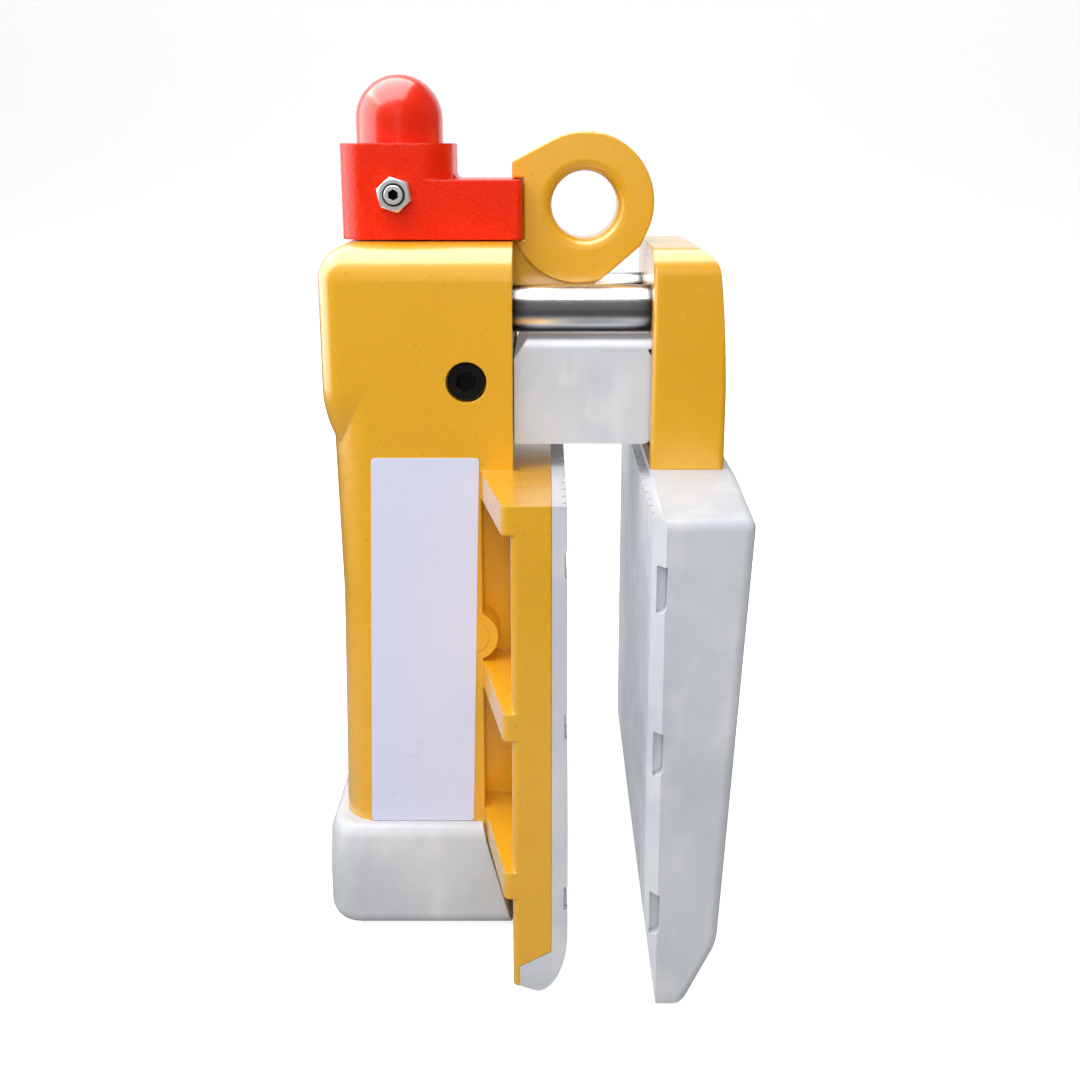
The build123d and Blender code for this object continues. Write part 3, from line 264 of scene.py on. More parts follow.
def ramp(tree, value, stops):
    """Colours along a value. Each stop is a position and a linear colour."""
    node = tree.nodes.new("ShaderNodeValToRGB")
    while len(node.color_ramp.elements) < len(stops):
        node.color_ramp.elements.new(0.5)
    for element, (position, colour) in zip(node.color_ramp.elements, stops):
        element.position = position
        element.color = (*colour, 1)
    tree.links.new(value, node.inputs["Fac"])
    return node.outputs["Color"]


def mix_colours(tree, amount, first, second):
    """Blend two colour sockets by a third."""
    node = tree.nodes.new("ShaderNodeMix")
    node.data_type = "RGBA"
    tree.links.new(amount, node.inputs[0])
    tree.links.new(first, node.inputs[6])
    tree.links.new(second, node.inputs[7])
    return node.outputs[2]


def soft_edge(tree, radius):
    """Normals that run round sharp edges, as thick paint does."""
    node = tree.nodes.new("ShaderNodeBevel")
    node.samples = 6
    node.inputs["Radius"].default_value = radius
    return node.outputs["Normal"]


def bump(tree, height, depth, strength, under=None):
    """A bump of a depth in metres, on top of another normal if there is one."""
    node = tree.nodes.new("ShaderNodeBump")
    node.inputs["Distance"].default_value = depth
    node.inputs["Strength"].default_value = strength
    tree.links.new(height, node.inputs["Height"])
    if under is not None:
        tree.links.new(under, node.inputs["Normal"])
    return node.outputs["Normal"]


def dress(finish, *names):
    """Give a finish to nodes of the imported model."""
    for name in names:
        slots = nodes[name].material_slots
        for slot in slots:
            slot.material = finish
        if not slots:
            nodes[name].data.materials.append(finish)


print("helpers ready")

# %% [markdown]
# ### Yellow enamel
# Thick satin enamel on an iron casting. Up close the casting is not flat: it has a slow swell and a
# fine orange-peel skin. The colour wanders a little, and a few tiny dark specks sit in the paint.

# %% Yellow enamel


def make_yellow_enamel():
    """Satin yellow enamel over a sand casting."""
    finish, tree, shader = new_finish("yellow_enamel")
    drift = grain(tree, 14, detail=3)
    base = ramp(tree, drift, ((0.30, (0.74, 0.375, 0.008)), (0.70, (0.80, 0.410, 0.014))))
    dots = grain(tree, 620, detail=1, roughness=0.4)
    speck = spread(tree, dots, 0.0, 0.45, start=0.745, end=0.775)
    dark = ramp(tree, drift, ((0.0, (0.30, 0.15, 0.02)), (1.0, (0.36, 0.19, 0.03))))
    tree.links.new(mix_colours(tree, speck, base, dark), shader.inputs["Base Color"])
    tree.links.new(spread(tree, grain(tree, 60), 0.24, 0.34), shader.inputs["Roughness"])
    swell = bump(tree, grain(tree, 45, detail=2), 0.0012, 0.16, under=soft_edge(tree, 0.0010))
    peel = bump(tree, grain(tree, 900, detail=2), 0.0002, 0.16, under=swell)
    tree.links.new(peel, shader.inputs["Normal"])
    shader.inputs["Coat Weight"].default_value = 0.9
    shader.inputs["Coat IOR"].default_value = 1.65
    shader.inputs["Coat Roughness"].default_value = 0.24
    return finish


yellow_enamel = make_yellow_enamel()
dress(yellow_enamel, "main_body", "moving_jaw_bridge", "lifting_link", "lower_guide_pin")
print("yellow enamel on the castings and on the pin that was painted with them")

# %% [markdown]
# ### Two reds
# The housing has a coarse hammered enamel that sparkles on its rounded corners. The dome is smooth
# moulded plastic, so it shows clean reflections.

# %% Reds


def make_red_enamel():
    """Coarse textured red enamel."""
    finish, tree, shader = new_finish("red_enamel")
    drift = grain(tree, 30)
    base = ramp(tree, drift, ((0.30, (0.72, 0.017, 0.0003)), (0.70, (0.79, 0.022, 0.0006))))
    tree.links.new(base, shader.inputs["Base Color"])
    tree.links.new(spread(tree, grain(tree, 300), 0.22, 0.36), shader.inputs["Roughness"])
    lumps = grain(tree, 620, detail=2, roughness=0.5)
    hammer = bump(tree, lumps, 0.0004, 0.5, under=soft_edge(tree, 0.0015))
    tree.links.new(hammer, shader.inputs["Normal"])
    shader.inputs["Specular IOR Level"].default_value = 0.3
    return finish


def make_red_plastic():
    """Smooth red moulded plastic."""
    finish, tree, shader = new_finish("red_plastic")
    drift = grain(tree, 40)
    base = ramp(tree, drift, ((0.30, (0.70, 0.015, 0.0005)), (0.70, (0.76, 0.020, 0.001))))
    tree.links.new(base, shader.inputs["Base Color"])
    tree.links.new(spread(tree, grain(tree, 90), 0.24, 0.32), shader.inputs["Roughness"])
    ripple = bump(tree, grain(tree, 70, detail=1), 0.0008, 0.08)
    tree.links.new(ripple, shader.inputs["Normal"])
    shader.inputs["Specular IOR Level"].default_value = 0.35
    shader.inputs["Coat Weight"].default_value = 0.6
    shader.inputs["Coat Roughness"].default_value = 0.16
    return finish


dress(make_red_enamel(), "latch_housing")
dress(make_red_plastic(), "latch_cap")
print("reds on the housing and the dome")

# %% [markdown]
# ### Bare metals
# The rods are ground and chromed, so their fine marks run round them. The screws are black oxide,
# the followers and nuts bright zinc, and the inner steel and bronze are machined. One helper makes
# them all: a metal with a colour, a roughness range, a direction for its fine marks and the share of
# it that is metal, since dull zinc behaves partly like paint. Narrow gaps and hollows get painted
# shade: an occlusion test darkens the colour there, most widely on the rods.

# %% Metals
METALS = (
    # name, colour, roughness range, mark stretch, metal share, reach of the painted gap shade in metres,
    # nodes
    ("chromed_rod", (0.80, 0.82, 0.85), (0.20, 0.26), (40, 1, 1), 1.0, 0.012,
     ("guide_rod_near", "guide_rod_far")),
    # Black oxide on the screws. The same finish also serves as painted shade inside the follower sockets.
    ("black_oxide_and_socket_shade", (0.026, 0.026, 0.028), (0.32, 0.48), (1, 1, 1), 0.8, 0.001,
     ("rod_screws", "housing_screws", "crosshead_screws")),
    ("bright_zinc", (0.78, 0.79, 0.80), (0.28, 0.40), (1, 6, 1), 0.6, 0.001, ()),
    ("machined_steel", (0.46, 0.47, 0.49), (0.24, 0.40), (1, 12, 12), 1.0, 0.002,
     ("bumper_core", "cam_pin", "cam_pin_rings", "crosshead_near", "crosshead_far", "moving_jaw_core",
      "latch_post", "latch_retainer", "latch_barrel")),
    ("guide_bronze", (0.60, 0.36, 0.13), (0.24, 0.38), (1, 8, 8), 1.0, 0.002,
     ("rod_bushes", "link_guide_rear", "link_guide_front")),
)


def make_metal(name, colour, roughness, stretch, metal_share, shade_reach):
    """A bare metal with fine marks that run one way, and painted shade in its narrow gaps."""
    finish, tree, shader = new_finish(name)
    marks = grain(tree, 120, detail=6, stretch=stretch)
    darker = tuple(0.86 * part for part in colour)
    clean = ramp(tree, marks, ((0.30, darker), (0.70, colour)))
    # Painted shade: where the occlusion test finds other surfaces close by, the colour turns almost black.
    gap_shade = ramp(tree, marks, ((0.0, (0.012, 0.011, 0.010)), (1.0, (0.022, 0.020, 0.018))))
    gap = tree.nodes.new("ShaderNodeAmbientOcclusion")
    gap.samples = 8
    gap.inputs["Distance"].default_value = shade_reach
    openness = spread(tree, gap.outputs["AO"], 0.0, 1.0, start=0.50, end=0.90)
    tree.links.new(mix_colours(tree, openness, gap_shade, clean), shader.inputs["Base Color"])
    tree.links.new(spread(tree, marks, *roughness), shader.inputs["Roughness"])
    tree.links.new(bump(tree, marks, 0.0001, 0.05), shader.inputs["Normal"])
    shader.inputs["Metallic"].default_value = metal_share
    return finish


metal = {}
for name, *values, wearers in METALS:
    metal[name] = make_metal(name, *values)
    dress(metal[name], *wearers)
print("metals:", sorted(metal))

# %% [markdown]
# ### Grey rubber
# The rubber is a pale grey compound that has been handled: it is dusty, with paler scuffs and a few
# darker smudges, and its skin is slightly pitted.

# %% Grey rubber


def make_grey_rubber():
    """Pale grey moulded rubber with dust and scuffs."""
    finish, tree, shader = new_finish("grey_rubber")
    cloud = grain(tree, 16, detail=5, roughness=0.6)
    greys = ((0.32, (0.50, 0.52, 0.56)), (0.50, (0.56, 0.58, 0.62)), (0.68, (0.62, 0.63, 0.66)))
    base = ramp(tree, cloud, greys)
    scuff = grain(tree, 58, detail=3, roughness=0.5, stretch=(1, 1, 0.6))
    pale = ramp(tree, cloud, ((0.0, (0.70, 0.70, 0.71)), (1.0, (0.75, 0.75, 0.76))))
    dusty = mix_colours(tree, spread(tree, scuff, 0.0, 0.45, start=0.54, end=0.70), base, pale)
    smudge = grain(tree, 48, detail=4, roughness=0.6)
    dark = ramp(tree, cloud, ((0.0, (0.44, 0.45, 0.49)), (1.0, (0.48, 0.49, 0.53))))
    soiled = mix_colours(tree, spread(tree, smudge, 0.0, 0.4, start=0.66, end=0.80), dusty, dark)
    tree.links.new(soiled, shader.inputs["Base Color"])
    tree.links.new(spread(tree, scuff, 0.40, 0.58), shader.inputs["Roughness"])
    pits = bump(tree, grain(tree, 700, detail=3), 0.0003, 0.22)
    lumps = bump(tree, grain(tree, 60, detail=2), 0.0008, 0.16, under=pits)
    tree.links.new(lumps, shader.inputs["Normal"])
    shader.inputs["Specular IOR Level"].default_value = 0.25
    return finish


grey_rubber = make_grey_rubber()
print("rubber ready")

# %% [markdown]
# ## Modelling helpers
# A moulded or machined part is easiest to draw from one side: one point is pushed along its outline,
# the outline is filled, and the face is pulled to its depth. Planes then trim it, chosen edges are
# rounded, cutters made the same way take out the grooves, and a last bevel softens what is sharp.

# %% Trace, trim and round


def make_active(piece):
    """Leave one piece selected and active."""
    bpy.ops.object.select_all(action="DESELECT")
    piece.select_set(True)
    bpy.context.view_layer.objects.active = piece


def trace_solid(name, outline, low, high, pull="Y"):
    """Trace an outline in millimetres, fill it and pull it from one depth to another.

    Pulled along Y, the outline gives X and Z. Pulled along Z, it gives X and Y.
    """

    def place(first, second, depth):
        return Vector((first, depth, second) if pull == "Y" else (first, second, depth)) * MM

    bpy.ops.object.select_all(action="DESELECT")
    bpy.ops.mesh.primitive_plane_add(size=MM)
    piece = bpy.context.object
    piece.name = name
    bpy.ops.object.mode_set(mode="EDIT")
    bpy.ops.mesh.select_mode(type="VERT")
    bpy.ops.mesh.merge(type="CENTER")
    here = place(*outline[0], low)
    bpy.ops.transform.translate(value=here)
    for point in outline[1:]:
        there = place(*point, low)
        bpy.ops.mesh.extrude_vertices_move(TRANSFORM_OT_translate={"value": there - here})
        here = there
    bpy.ops.mesh.select_all(action="SELECT")
    bpy.ops.mesh.edge_face_add()
    pull_step = place(0, 0, high) - place(0, 0, low)
    bpy.ops.mesh.extrude_region_move(TRANSFORM_OT_translate={"value": pull_step})
    bpy.ops.mesh.select_all(action="SELECT")
    bpy.ops.mesh.normals_make_consistent(inside=False)
    bpy.ops.object.mode_set(mode="OBJECT")
    return piece


def trim(piece, point, outward):
    """Cut a piece with a plane, drop what lies outward of it and close the cut."""
    make_active(piece)
    bpy.ops.object.mode_set(mode="EDIT")
    bpy.ops.mesh.select_all(action="SELECT")
    spot = Vector(point) * MM
    facing = Vector(outward).normalized()
    bpy.ops.mesh.bisect(plane_co=spot, plane_no=facing, use_fill=True, clear_outer=True)
    bpy.ops.object.mode_set(mode="OBJECT")


def round_edges(piece, width, wanted, segments=4):
    """Round the edges that a test picks by their two ends, all in millimetres."""
    make_active(piece)
    bpy.ops.object.mode_set(mode="EDIT")
    bpy.ops.mesh.select_mode(type="EDGE")
    bpy.ops.mesh.select_all(action="DESELECT")
    bpy.ops.object.mode_set(mode="OBJECT")
    points = piece.data.vertices
    for edge in piece.data.edges:
        start, end = (points[i].co / MM for i in edge.vertices)
        edge.select = wanted(start, end)
    bpy.ops.object.mode_set(mode="EDIT")
    bpy.ops.mesh.bevel(offset=width * MM, segments=segments, affect="EDGES")
    bpy.ops.object.mode_set(mode="OBJECT")


print("tracing helpers ready")

# %% Repeat, carve and soften
MERGE_WITHIN = 0.005
SMOOTH_BELOW = 35


def apply_modifier(piece, kind, **values):
    """Add a modifier, set it and apply it."""
    make_active(piece)
    step = piece.modifiers.new(kind.lower(), kind)
    for key, value in values.items():
        setattr(step, key, value)
    bpy.ops.object.modifier_apply(modifier=step.name)


def repeat(piece, count, step):
    """Repeat a piece along a step in millimetres, as one mesh."""
    apply_modifier(
        piece, "ARRAY", count=count, use_relative_offset=False, use_constant_offset=True,
        constant_offset_displace=Vector(step) * MM,
    )
    return piece


def carve(piece, *cutters, operation="DIFFERENCE"):
    """Take cutters out of a piece and delete them."""
    for cutter in cutters:
        apply_modifier(piece, "BOOLEAN", object=cutter, solver="EXACT", operation=operation)
        bpy.data.objects.remove(cutter)


def soften(piece, width, segments=2, angle=30):
    """Round every edge that is sharper than an angle."""
    apply_modifier(
        piece, "BEVEL", width=width * MM, segments=segments, limit_method="ANGLE",
        angle_limit=math.radians(angle), harden_normals=False,
    )


def arc(middle, radii, start, end, steps):
    """Points of an arc, in degrees from the first axis towards the second."""
    points = []
    for step in range(steps + 1):
        angle = math.radians(start + (end - start) * step / steps)
        points.append((middle[0] + radii[0] * math.cos(angle), middle[1] + radii[1] * math.sin(angle)))
    return points


def complete(piece, finish, body, node=None):
    """Merge stray points and shade a piece, then set its finish, its body and the node it stands for."""
    make_active(piece)
    bpy.ops.object.mode_set(mode="EDIT")
    bpy.ops.mesh.select_all(action="SELECT")
    bpy.ops.mesh.remove_doubles(threshold=MERGE_WITHIN * MM)
    bpy.ops.mesh.dissolve_degenerate(threshold=MERGE_WITHIN * MM)
    bpy.ops.object.mode_set(mode="OBJECT")
    bpy.ops.object.shade_smooth_by_angle(angle=math.radians(SMOOTH_BELOW))
    apply_modifier(piece, "WEIGHTED_NORMAL", keep_sharp=True)
    piece.data.materials.clear()
    piece.data.materials.append(finish)
    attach(piece, body)
    if node:
        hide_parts(node)
    print(piece.name, "faces:", len(piece.data.polygons))


print("shaping helpers ready")

# %% [markdown]
# ## Rubber of the moving jaw
# A thick wedge that thins towards its tip. Its top is crowned: it slopes down to both ends from the
# foot of the bridge. The grip face has upright grooves, which show as a row of small notches along
# the top edge. Three pockets with a rounded lower corner are sunk into the slanted edge at each end.
# The wedge is traced from the side, trimmed by planes, rounded and then carved.

# %% Wedge of the moving jaw
jaw_low, jaw_high = (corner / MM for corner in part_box("moving_jaw_pad"))
GRIP_X = jaw_low.x
JAW_HALF = jaw_high.y
JAW_CROWN = jaw_high.z
JAW_TOP = 213.0
JAW_LEAD_Z = 38.0
JAW_HEEL_X = 55.8
JAW_TOE_X = 68.2
JAW_KNEE = (81.3, 27.5)
CROWN_X = 54.7
CROWN_HALF = 47.0
GRIP_CHAMFER = 5.2
WEDGE_ROUND = 4.6
RUBBER_EDGE = 0.6

jaw_outline = (
    (GRIP_X, JAW_TOP), (GRIP_X, JAW_LEAD_Z), (JAW_HEEL_X, 0), (JAW_TOE_X, 0), JAW_KNEE,
    (jaw_high.x, JAW_CROWN), (CROWN_X, JAW_CROWN), (CROWN_X, JAW_TOP),
)
moving_rubber = trace_solid("moving_jaw_rubber", jaw_outline, -JAW_HALF, JAW_HALF)
crown_fall = JAW_CROWN - JAW_TOP
crown_run = JAW_HALF - CROWN_HALF
for side in (-1, 1):
    trim(moving_rubber, (0, side * CROWN_HALF, JAW_CROWN), (0, side * crown_fall, crown_run))
    trim(moving_rubber, (GRIP_X, side * (JAW_HALF - GRIP_CHAMFER), 0), (-1, side, 0))
print("wedge faces:", len(moving_rubber.data.polygons))

# %% Round the wedge


def on_end(point):
    """True on the two ends of the moving jaw."""
    return abs(point.y) > JAW_HALF - 0.05


def wedge_rim(start, end):
    """Edges round the outer face and along the top of each end."""
    outer = min(start.x, end.x) > JAW_TOE_X - 1
    high = min(start.z, end.z) > JAW_TOP - 1
    right = min(start.x, end.x) > jaw_high.x - 2
    return (on_end(start) and on_end(end) and (outer or high)) or (right and high)


round_edges(moving_rubber, WEDGE_ROUND, wedge_rim, 5)
print("rounded wedge faces:", len(moving_rubber.data.polygons))

# %% Carve the grip of the moving jaw
POCKET_FLOORS = (174.5, 104.5, 32.0)
POCKET_HIGH = 19.5
POCKET_DEEP = 6.5
POCKET_LEFT = GRIP_X + 2.0
POCKET_CORNER = 4.0
POCKET_RIGHT = POCKET_LEFT + POCKET_CORNER
GROOVE_PITCH = 10.4
GROOVE_WIDE = 2.0
GROOVE_DEEP = 1.6
CLEAR = 1.0

groove_count = 2 * int(JAW_HALF / GROOVE_PITCH) + 1
first_groove = -GROOVE_PITCH * (groove_count - 1) / 2
groove_face = GRIP_X + GROOVE_DEEP
groove_outline = (
    (GRIP_X - CLEAR, JAW_TOP + CLEAR), (GRIP_X - CLEAR, JAW_LEAD_Z), (JAW_HEEL_X - CLEAR, -CLEAR),
    (JAW_HEEL_X + GROOVE_DEEP, -CLEAR), (groove_face, JAW_LEAD_Z), (groove_face, JAW_TOP + CLEAR),
)
groove = trace_solid(
    "groove", groove_outline, first_groove - GROOVE_WIDE / 2, first_groove + GROOVE_WIDE / 2,
)
repeat(groove, groove_count, (0, GROOVE_PITCH, 0))
pockets = []
for floor_z in POCKET_FLOORS:
    top_z = floor_z + POCKET_HIGH
    pocket_outline = [(POCKET_RIGHT, top_z), (POCKET_LEFT, top_z), (POCKET_LEFT, floor_z)]
    corner_middle = (POCKET_LEFT, floor_z + POCKET_CORNER)
    pocket_outline += arc(corner_middle, (POCKET_CORNER, POCKET_CORNER), -75, 0, 5)
    low_y = -JAW_HALF - CLEAR
    high_y = -JAW_HALF + POCKET_DEEP
    pockets.append(trace_solid("pocket_near", pocket_outline, low_y, high_y))
    pockets.append(trace_solid("pocket_far", pocket_outline, -high_y, -low_y))
carve(moving_rubber, *pockets, groove)
soften(moving_rubber, RUBBER_EDGE)
complete(moving_rubber, grey_rubber, "jaw", "moving_jaw_pad")

# %% [markdown]
# ## Rubber of the fixed jaw
# A thinner facing that wraps round the tip of its plate. Its toe is a quarter of an ellipse. It has
# the same upright grooves, and three shallow channels run level across it.

# %% Facing of the fixed jaw
pad_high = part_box("fixed_jaw_pad")[1] / MM
PAD_HALF = pad_high.y
PAD_TOP = pad_high.z
PAD_GRIP_X = 17.9
PAD_LOW = (18.7, 60.0)
PLATE_FACE = 11.9
TIP_FACE_Z = 20.7
TIP_BACK = (-1.7, 13.3)
TIP_FOOT = 4.0
PAD_EDGE = 0.5
TOE_MIDDLE = (5.9, 28.8)
TOE_RADII = (12.8, 27.3)
PAD_CHANNELS = (187.2, 118.4, 40.4)
PAD_CHANNEL_HIGH = 11.0
PAD_CHANNEL_DEEP = 0.7

pad_outline = [(PLATE_FACE, TIP_FACE_Z), (PLATE_FACE, PAD_TOP), (PAD_GRIP_X, PAD_TOP), PAD_LOW]
pad_outline += arc(TOE_MIDDLE, TOE_RADII, 0, -90, 14)
pad_outline += [(TIP_BACK[0], TIP_FOOT), TIP_BACK]
fixed_rubber = trace_solid("fixed_jaw_rubber", pad_outline, -PAD_HALF, PAD_HALF)
pad_groove_count = 2 * int(PAD_HALF / GROOVE_PITCH) + 1
first_groove = -GROOVE_PITCH * (pad_groove_count - 1) / 2
pad_groove_outline = (
    (PAD_GRIP_X - GROOVE_DEEP, PAD_TOP + CLEAR), (PAD_LOW[0] + CLEAR, PAD_TOP + CLEAR),
    (PAD_LOW[0] + CLEAR, TOE_MIDDLE[1]), (PAD_GRIP_X - GROOVE_DEEP, TOE_MIDDLE[1]),
)
pad_groove = trace_solid(
    "pad_groove", pad_groove_outline, first_groove - GROOVE_WIDE / 2, first_groove + GROOVE_WIDE / 2,
)
repeat(pad_groove, pad_groove_count, (0, GROOVE_PITCH, 0))
pad_channels = []
for channel_z in PAD_CHANNELS:
    deep_x = PAD_GRIP_X - PAD_CHANNEL_DEEP
    high_z = channel_z + PAD_CHANNEL_HIGH
    outer_x = PAD_LOW[0] + CLEAR
    channel_outline = ((deep_x, channel_z), (deep_x, high_z), (outer_x, high_z), (outer_x, channel_z))
    pad_channels.append(trace_solid("pad_channel", channel_outline, -PAD_HALF - CLEAR, PAD_HALF + CLEAR))
carve(fixed_rubber, *pad_channels, pad_groove)
soften(fixed_rubber, PAD_EDGE)
complete(fixed_rubber, grey_rubber, "frame", "fixed_jaw_pad")

# %% [markdown]
# ## Foot boot
# A moulded boot over the foot of the column. In plan it is a rectangle with two round corners at the
# back, so this outline is pulled upwards. Above the middle the wall leans in towards the column: the
# top face is pulled up in three steps and drawn in a little at each. A plane leans the front, the
# lower edges are rounded, and the room for the column is carved out last. That room is a hair smaller
# than the column, so no gap shows along the rim.

# %% Boot
boot_low, boot_high = (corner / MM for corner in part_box("foot_boot"))
BOOT_CORNER = 15.0
BOOT_RIM = 51.2
BOOT_FRONT_TOP = -19.1
BOOT_FOOT = -5.6
SOLE_ROUND = 8.0
BOOT_RINGS = (
    # height, back and half width of the wall there
    (24.0, boot_low.x, boot_high.y),
    (45.0, -90.0, 51.5),
    (49.6, -87.8, 49.0),
    (BOOT_RIM, -85.0, 46.4),
)


def draw_up(piece, low, high):
    """Pull the top face from one ring up to the next and draw it in."""
    make_active(piece)
    bpy.ops.object.mode_set(mode="EDIT")
    bpy.ops.mesh.select_mode(type="FACE")
    bpy.ops.mesh.select_all(action="DESELECT")
    bpy.ops.object.mode_set(mode="OBJECT")
    for face in piece.data.polygons:
        face.select = face.center.z / MM > low[0] - 0.01
    bpy.ops.object.mode_set(mode="EDIT")
    bpy.ops.mesh.extrude_region_move(TRANSFORM_OT_translate={"value": (0, 0, (high[0] - low[0]) * MM)})
    draw_x = (high[1] - BOOT_FRONT_TOP) / (low[1] - BOOT_FRONT_TOP)
    middle = Vector((BOOT_FRONT_TOP, 0, high[0])) * MM
    bpy.ops.transform.resize(value=(draw_x, high[2] / low[2], 1), center_override=middle)
    bpy.ops.object.mode_set(mode="OBJECT")


half = boot_high.y
corner_x = boot_low.x + BOOT_CORNER
corner_y = half - BOOT_CORNER
boot_outline = [(BOOT_FOOT, -half), (BOOT_FOOT, half)]
boot_outline += arc((corner_x, corner_y), (BOOT_CORNER, BOOT_CORNER), 90, 180, 10)
boot_outline += arc((corner_x, -corner_y), (BOOT_CORNER, BOOT_CORNER), 180, 270, 10)
boot = trace_solid("boot_rubber", boot_outline, 0, BOOT_RINGS[0][0], pull="Z")
for low_ring, high_ring in zip(BOOT_RINGS, BOOT_RINGS[1:]):
    draw_up(boot, low_ring, high_ring)
print("boot walls:", len(boot.data.polygons))

# %% Front and sole of the boot


def sole_rim(start, end):
    """Lower edges, apart from the front one."""
    return max(start.z, end.z) < 0.05 and min(start.x, end.x) < BOOT_FOOT - 1


trim(boot, (BOOT_FOOT, 0, 0), (BOOT_RIM, 0, BOOT_FOOT - BOOT_FRONT_TOP))
round_edges(boot, SOLE_ROUND, sole_rim, 6)
print("boot faces before its room:", len(boot.data.polygons))

# %% Room for the column
COLUMN_BACK = -83.2
COLUMN_FRONT = -18.3
COLUMN_HALF = 44.4
COLUMN_CORNER = 17.0
COLUMN_FOOT = 6.0
NECK_HALF = 29.9
NECK_BACK = -20.0
NECK_FRONT = 0.0
BOOT_EDGE = 0.7

column_outline = [(COLUMN_FRONT, -COLUMN_HALF), (COLUMN_FRONT, COLUMN_HALF)]
column_corner_x = COLUMN_BACK + COLUMN_CORNER
column_corner_y = COLUMN_HALF - COLUMN_CORNER
column_outline += arc((column_corner_x, column_corner_y), (COLUMN_CORNER, COLUMN_CORNER), 90, 180, 8)
column_outline += arc((column_corner_x, -column_corner_y), (COLUMN_CORNER, COLUMN_CORNER), 180, 270, 8)
column_room = trace_solid("column_room", column_outline, COLUMN_FOOT, BOOT_RIM + CLEAR, pull="Z")
neck_outline = (
    (NECK_BACK, -NECK_HALF), (NECK_FRONT, -NECK_HALF), (NECK_FRONT, NECK_HALF), (NECK_BACK, NECK_HALF),
)
neck_room = trace_solid("neck_room", neck_outline, COLUMN_FOOT, BOOT_RIM + CLEAR, pull="Z")
carve(boot, column_room, neck_room)
soften(boot, BOOT_EDGE, segments=3, angle=32)
complete(boot, grey_rubber, "frame", "foot_boot")

# %% [markdown]
# ## Slab bumper
# The block over the throat that the slab's top edge meets. Its top edges are well rounded, its back
# slopes under the head, and a thin tongue reaches into the bridge.

# %% Bumper
bumper_low, bumper_high = (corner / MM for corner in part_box("slab_bumper"))
BUMPER_END = 54.7
TONGUE_LOW = 268.4
TONGUE_NOTCH = (52.7, 264.6)
BUMPER_SLOPE = (1.6, 264.2)
TOP_ROUND = 3.7
LOW_END_ROUND = 3.5

bumper_outline = (
    (bumper_low.x, bumper_low.z), (BUMPER_END, bumper_low.z), (BUMPER_END, TONGUE_NOTCH[1]),
    (TONGUE_NOTCH[0], TONGUE_LOW), (bumper_high.x, TONGUE_LOW), (bumper_high.x, bumper_high.z),
    (BUMPER_SLOPE[0], bumper_high.z), (bumper_low.x, BUMPER_SLOPE[1]),
)
bumper = trace_solid("bumper_rubber", bumper_outline, bumper_low.y, bumper_high.y)


def along_top(start, end):
    """Top edges along the two sides."""
    return min(start.z, end.z) > bumper_high.z - 0.05 and abs(start.x - end.x) > 10


def low_end(start, end):
    """The lower edge at the end."""
    return max(start.z, end.z) < bumper_low.z + 0.05 and min(start.x, end.x) > BUMPER_END - 0.05


round_edges(bumper, LOW_END_ROUND, low_end)
round_edges(bumper, TOP_ROUND, along_top, 6)
soften(bumper, RUBBER_EDGE)
complete(bumper, grey_rubber, "frame", "slab_bumper")

# %% [markdown]
# ### Fill lights
# The fixed jaw stands close in front of the other jaw's grip and takes its light, and the rods do the
# same to the top of the bumper. A fill panel is linked to each of these two pieces alone, and nothing
# else casts a shadow in its light.

# %% Link fill panels to the grip and the bumper
FILLS = (
    # name, place, watts, piece
    ("grip_fill", (-0.94, 0.44, 0.22), 9.0, moving_rubber),
    ("bumper_fill", (0.0, -0.05, 1.20), 7.0, bumper),
)
FILL_WIDTH = 0.5
FILL_HEIGHT = 0.6

for name, place, watts, piece in FILLS:
    fill = hang_panel(name, place, FILL_WIDTH, FILL_HEIGHT, watts)
    lit = bpy.data.collections.new(name)
    lit.objects.link(piece)
    fill.light_linking.receiver_collection = lit
    fill.light_linking.blocker_collection = lit
    print(name, "lights", piece.name)

# %% [markdown]
# ## Blank plate
# A thin white plate is stuck on the near side of the column, a little out of upright. It carries
# nothing. Its four corners are placed on the flat of the column, and the corners are clipped round.

# %% White plate
PLATE_SEAT = -44.5
PLATE_THICK = 0.5
PLATE_SUNK = 0.05
PLATE_CORNER = 1.5
PLATE_EDGE = 0.12
PLATE_CORNERS = ((-64.8, 222.8), (-18.8, 222.8), (-23.4, 51.4), (-70.2, 51.4))


def make_white_film():
    """Glossy white sheet, slightly blue, with a faint drift of tone."""
    finish, tree, shader = new_finish("white_film")
    drift = grain(tree, 18, detail=3)
    base = ramp(tree, drift, ((0.30, (0.66, 0.69, 0.88)), (0.70, (0.67, 0.70, 0.89))))
    tree.links.new(base, shader.inputs["Base Color"])
    tree.links.new(spread(tree, grain(tree, 70), 0.27, 0.31), shader.inputs["Roughness"])
    tree.links.new(bump(tree, grain(tree, 35, detail=2), 0.0005, 0.025), shader.inputs["Normal"])
    return finish


white_plate = trace_solid(
    "white_plate", PLATE_CORNERS, PLATE_SEAT - PLATE_THICK, PLATE_SEAT + PLATE_SUNK,
)
round_edges(white_plate, PLATE_CORNER, lambda start, end: abs(start.y - end.y) > 0.1, 3)
soften(white_plate, PLATE_EDGE)
complete(white_plate, make_white_film(), "frame")

# %% [markdown]
# ## Fasteners
# The followers are set screws with a hexagon socket, each held by a locknut whose corners are turned
# off at both faces. The bumper hangs on two black cap screws. Each is modelled once on the near side,
# from a bar along Y, and its copy is turned half round onto the far side.

# %% Helpers for fasteners
LATCH_X = -53.8
FOLLOWER_Z = 331.9


